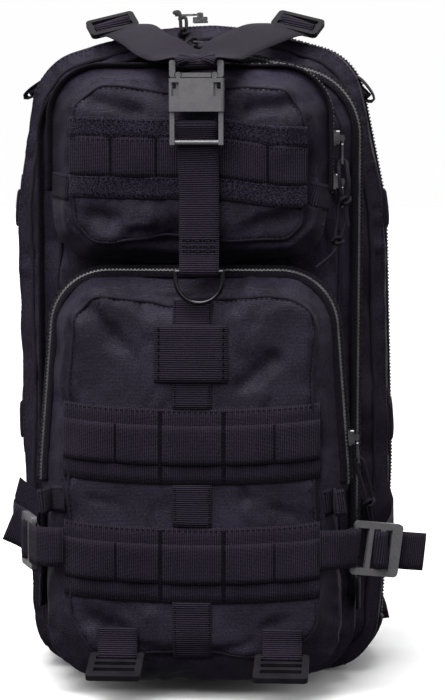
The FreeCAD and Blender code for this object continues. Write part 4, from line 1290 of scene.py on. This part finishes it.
# ---------------------------------------------------------------- back: straps, handle, yoke
def pad_strap(side):
    """Padded shoulder strap, crowned, with bound edges and a webbing line down its middle."""
    label = "right" if side > 0 else "left"
    route = [(46, 100.5, 410), (48, 106, 402), (50, 112, 394), (56, 124, 366), (64, 131, 310), (74, 132, 245),
             (84, 126, 183), (88, 121, 160)]
    line = smooth_path([(side * x, y, z) for x, y, z in route], 5.0)
    pad = strap("shoulder_pad_" + label, line, (1, 0, 0), 57.0, 6.0, MESH, columns=12, crown=2.4, edge=0.5)
    subdivided(pad)
    direction = normals(pad)
    points = positions(pad)
    for point, normal in zip(points, direction):
        point += normal * 0.7 * noise.noise(Vector(point) * 0.06)
    set_positions(pad, points)
    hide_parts("shoulder_strap_" + label)
    for edge in (-1, 1):
        side_line = [here + Vector((edge * 28.4, 0, 0)) for here in line]
        bound = tube("shoulder_binding_%s_%s" % (label, "out" if edge * side > 0 else "in"), side_line, 2.9, BINDING,
                     sides=10)
    run = [p + Vector((0, 5.6, 0)) for p in line[2:-2]]
    strap("shoulder_webbing_" + label, run, (1, 0, 0), WEB, 1.4)
    threads = Threads()
    for offset in (-10.8, 10.8):
        threads.line([p + Vector((offset, 0.75, 0)) for p in run], (0, 1, 0.1), 3.4, 2.5, 0.3)
    for height in (385, 345, 300, 255, 215, 180):
        near = min(run, key=lambda p: abs(p.z - height))
        threads.tack(near + Vector((-10, 0.8, 0)), near + Vector((10, 0.8, 0)), (0, 1, 0), 2.2)
    threads.finish("shoulder_stitching_" + label)


for side in (-1, 1):
    pad_strap(side)

yoke = laid("yoke_panel", [(0, 92, 396.5), (0, 92, 433.5)], (1, 0, 0), 150, MAIN_TREE, (0, -1, 0), thick=1.3,
            finish=PAINTED_SHADE_FABRIC, columns=40)
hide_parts("strap_yoke")
yoke_tree = tree_of(yoke)
back_threads = Threads()
for z in (399, 401.5, 429, 431.5):
    path = [on_surface(yoke_tree, (x, 92, z), (0, -1, 0), 0.05) for x in np.linspace(-73, 73, 40)]
    back_threads.line(path, (0, 1, 0), 3.4, 2.5, 0.3)
for x in (-43, 43):
    a, b, c, d = [on_surface(yoke_tree, (x + i * 11, 92, 415 + k * 11), (0, -1, 0), 0.05)
                  for i, k in ((-1, -1), (1, -1), (1, 1), (-1, 1))]
    for p, q in ((a, b), (b, c), (c, d), (d, a), (a, c), (b, d)):
        back_threads.line([p, q], (0, 1, 0), 3.0, 2.3, 0.34)
back_threads.finish("yoke_stitching")

grip = smooth_path([(-47, 94.3, 424), (-43, 95.4, 424), (-38, 98.4, 424), (-32, 103, 424), (-19, 109.6, 424),
                    (0, 111, 424), (19, 109.6, 424), (32, 103, 424), (38, 98.4, 424), (43, 95.4, 424),
                    (47, 94.3, 424)], 2.5)
handle = strap("carry_handle_webbing", grip, (0, 0, 1), [20 - 5 * smoothstep(40, 8, abs(p.x)) for p in grip], 2.4,
               columns=8, crown=0.9)
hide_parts("carry_handle")
roll = tube("carry_handle_grip", [p for p in grip if abs(p.x) < 24], 5.2, BINDING, sides=14)

for side, label in ((1, "right"), (-1, "left")):
    down = smooth_path([(side * 91, 117.6, 132), (side * 95, 109, 108), (side * 101, 103, 76),
                        (side * 106, 99, 46), (side * 109, 95.4, 30)], 3.0)
    strap("strap_webbing_" + label, down, (1, 0, 0), WEB, 1.4)
    wedge = strap("strap_gusset_" + label, [(side * 104, 93.4, 48), (side * 107, 93.4, 38), (side * 109, 93.2, 27),
                                            (side * 110, 92.6, 18)], (1, 0, 0.1 * side), [24, 30, 34, 36], 1.8,
                  PAINTED_SHADE_FABRIC)
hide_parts("strap_webbing")
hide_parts("strap_gussets")

chest_left = strap("sternum_webbing_fixed", smooth_path([(-86, 139, 325), (-78, 140.3, 325), (-50, 140.5, 325),
                                                         (-21, 140.5, 325)], 3.0), (0, 0, 1), 19.8, 1.4)
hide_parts("sternum_webbing_left")
chest_right = strap("sternum_webbing_loose", smooth_path([(86, 139, 325), (78, 140.3, 325), (50, 140.5, 325),
                                                          (22, 140.5, 325)], 3.0), (0, 0, 1), 19.8, 1.4,
                    body="chest_plug")
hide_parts("sternum_webbing_right")


# ---------------------------------------------------------------- carried-over rigid parts
FINISHES = {
    "buckle_female": PAINTED_REFLECTION_PLASTIC, "buckle_male": PAINTED_REFLECTION_PLASTIC, "buckle_arm_left": PAINTED_REFLECTION_PLASTIC, "buckle_arm_right": PAINTED_REFLECTION_PLASTIC,
    "compression_lock_left": PAINTED_REFLECTION_PLASTIC, "compression_lock_right": PAINTED_REFLECTION_PLASTIC, "lash_lock_left": DARK_PLASTIC,
    "lash_lock_right": DARK_PLASTIC, "strap_lock_left": DARK_PLASTIC, "strap_lock_right": DARK_PLASTIC,
    "top_glides": DARK_PLASTIC,
    "sternum_buckle_female": PAINTED_REFLECTION_PLASTIC, "sternum_buckle_male": PAINTED_REFLECTION_PLASTIC, "d_ring": METAL, "frame_sheet": SHEET,
    "hydration_sleeve": LINING,
}
for name, obj in nodes.items():
    pull = name.endswith(("_slider", "_pull"))
    finish = FINISHES.get(name, PULL_METAL if pull else FABRIC)
    obj.data.materials.clear()
    obj.data.materials.append(finish)


# ---------------------------------------------------------------- floor and light
floor_mesh = bpy.data.meshes.new("floor")
floor_mesh.from_pydata([(-30, -30, 0), (30, -30, 0), (30, 30, 0), (-30, 30, 0)], [], [(0, 1, 2, 3)])
floor_finish, floor_tree, floor_shader = surface("floor", 0.9, 0.1)
grain = noise_value(floor_tree, node(floor_tree, "ShaderNodeTexCoord").outputs["Object"], 3.0)
floor_tree.links.new(ramp(floor_tree, grain, (0.90, 0.90, 0.90), (0.92, 0.92, 0.92)),
                     floor_shader.inputs["Base Color"])
floor_mesh.materials.append(floor_finish)
floor = link("floor", floor_mesh, None)
floor.visible_diffuse = False
floor.visible_glossy = False

world = bpy.data.worlds.new("studio")
world.use_nodes = True
sky = world.node_tree
backdrop = sky.nodes["Background"]
backdrop.inputs["Color"].default_value = (1.0, 1.0, 1.0, 1)
backdrop.inputs["Strength"].default_value = 0.99
way = node(sky, "ShaderNodeSeparateXYZ", {0: node(sky, "ShaderNodeTexCoord").outputs["Generated"]})
dome = ramp(sky, half_up(sky, way.outputs[2]), (0.16, 0.16, 0.16), (1.0, 1.0, 1.0), 0.3, 0.85)
from_behind = maths(sky, "MAXIMUM", way.outputs[1], 0.0)
glow = maths(sky, "ADD", maths(sky, "MULTIPLY", from_behind, 0.7), 0.62)
soft = node(sky, "ShaderNodeBackground", {"Color": dome, "Strength": glow})
seen = node(sky, "ShaderNodeLightPath").outputs["Is Camera Ray"]
mix = node(sky, "ShaderNodeMixShader", {0: seen})
sky.links.new(soft.outputs[0], mix.inputs[1])
sky.links.new(backdrop.outputs[0], mix.inputs[2])
sky.links.new(mix.outputs[0], sky.nodes["World Output"].inputs[0])
scene.world = world


def sun(name, towards, strength, angle):
    """Soft parallel light shining along a direction."""
    data = bpy.data.lights.new(name, "SUN")
    data.energy = strength
    data.angle = math.radians(angle)
    lamp = bpy.data.objects.new(name, data)
    scene.collection.objects.link(lamp)
    aim(lamp, towards)


sun("overhead", (0.08, 0.26, -1.0), 2.7, 36)
sun("fill_right", (-0.7, 0.6, -0.45), 0.42, 40)
sun("fill_left", (0.8, 0.45, -0.4), 0.25, 40)

SOFTBOX_AT = Vector((-0.4, -1.2, 1.35))
SOFTBOX_TARGET = Vector((0, 0, 0.25))
softbox = bpy.data.lights.new("softbox", "AREA")
softbox.shape = "RECTANGLE"
softbox.size = 0.9
softbox.size_y = 1.4
softbox.energy = 25
box_lamp = bpy.data.objects.new("softbox", softbox)
scene.collection.objects.link(box_lamp)
box_lamp.location = SOFTBOX_AT
aim(box_lamp, SOFTBOX_TARGET - SOFTBOX_AT)

scene.view_settings.view_transform = "Standard"
scene.view_settings.look = "None"
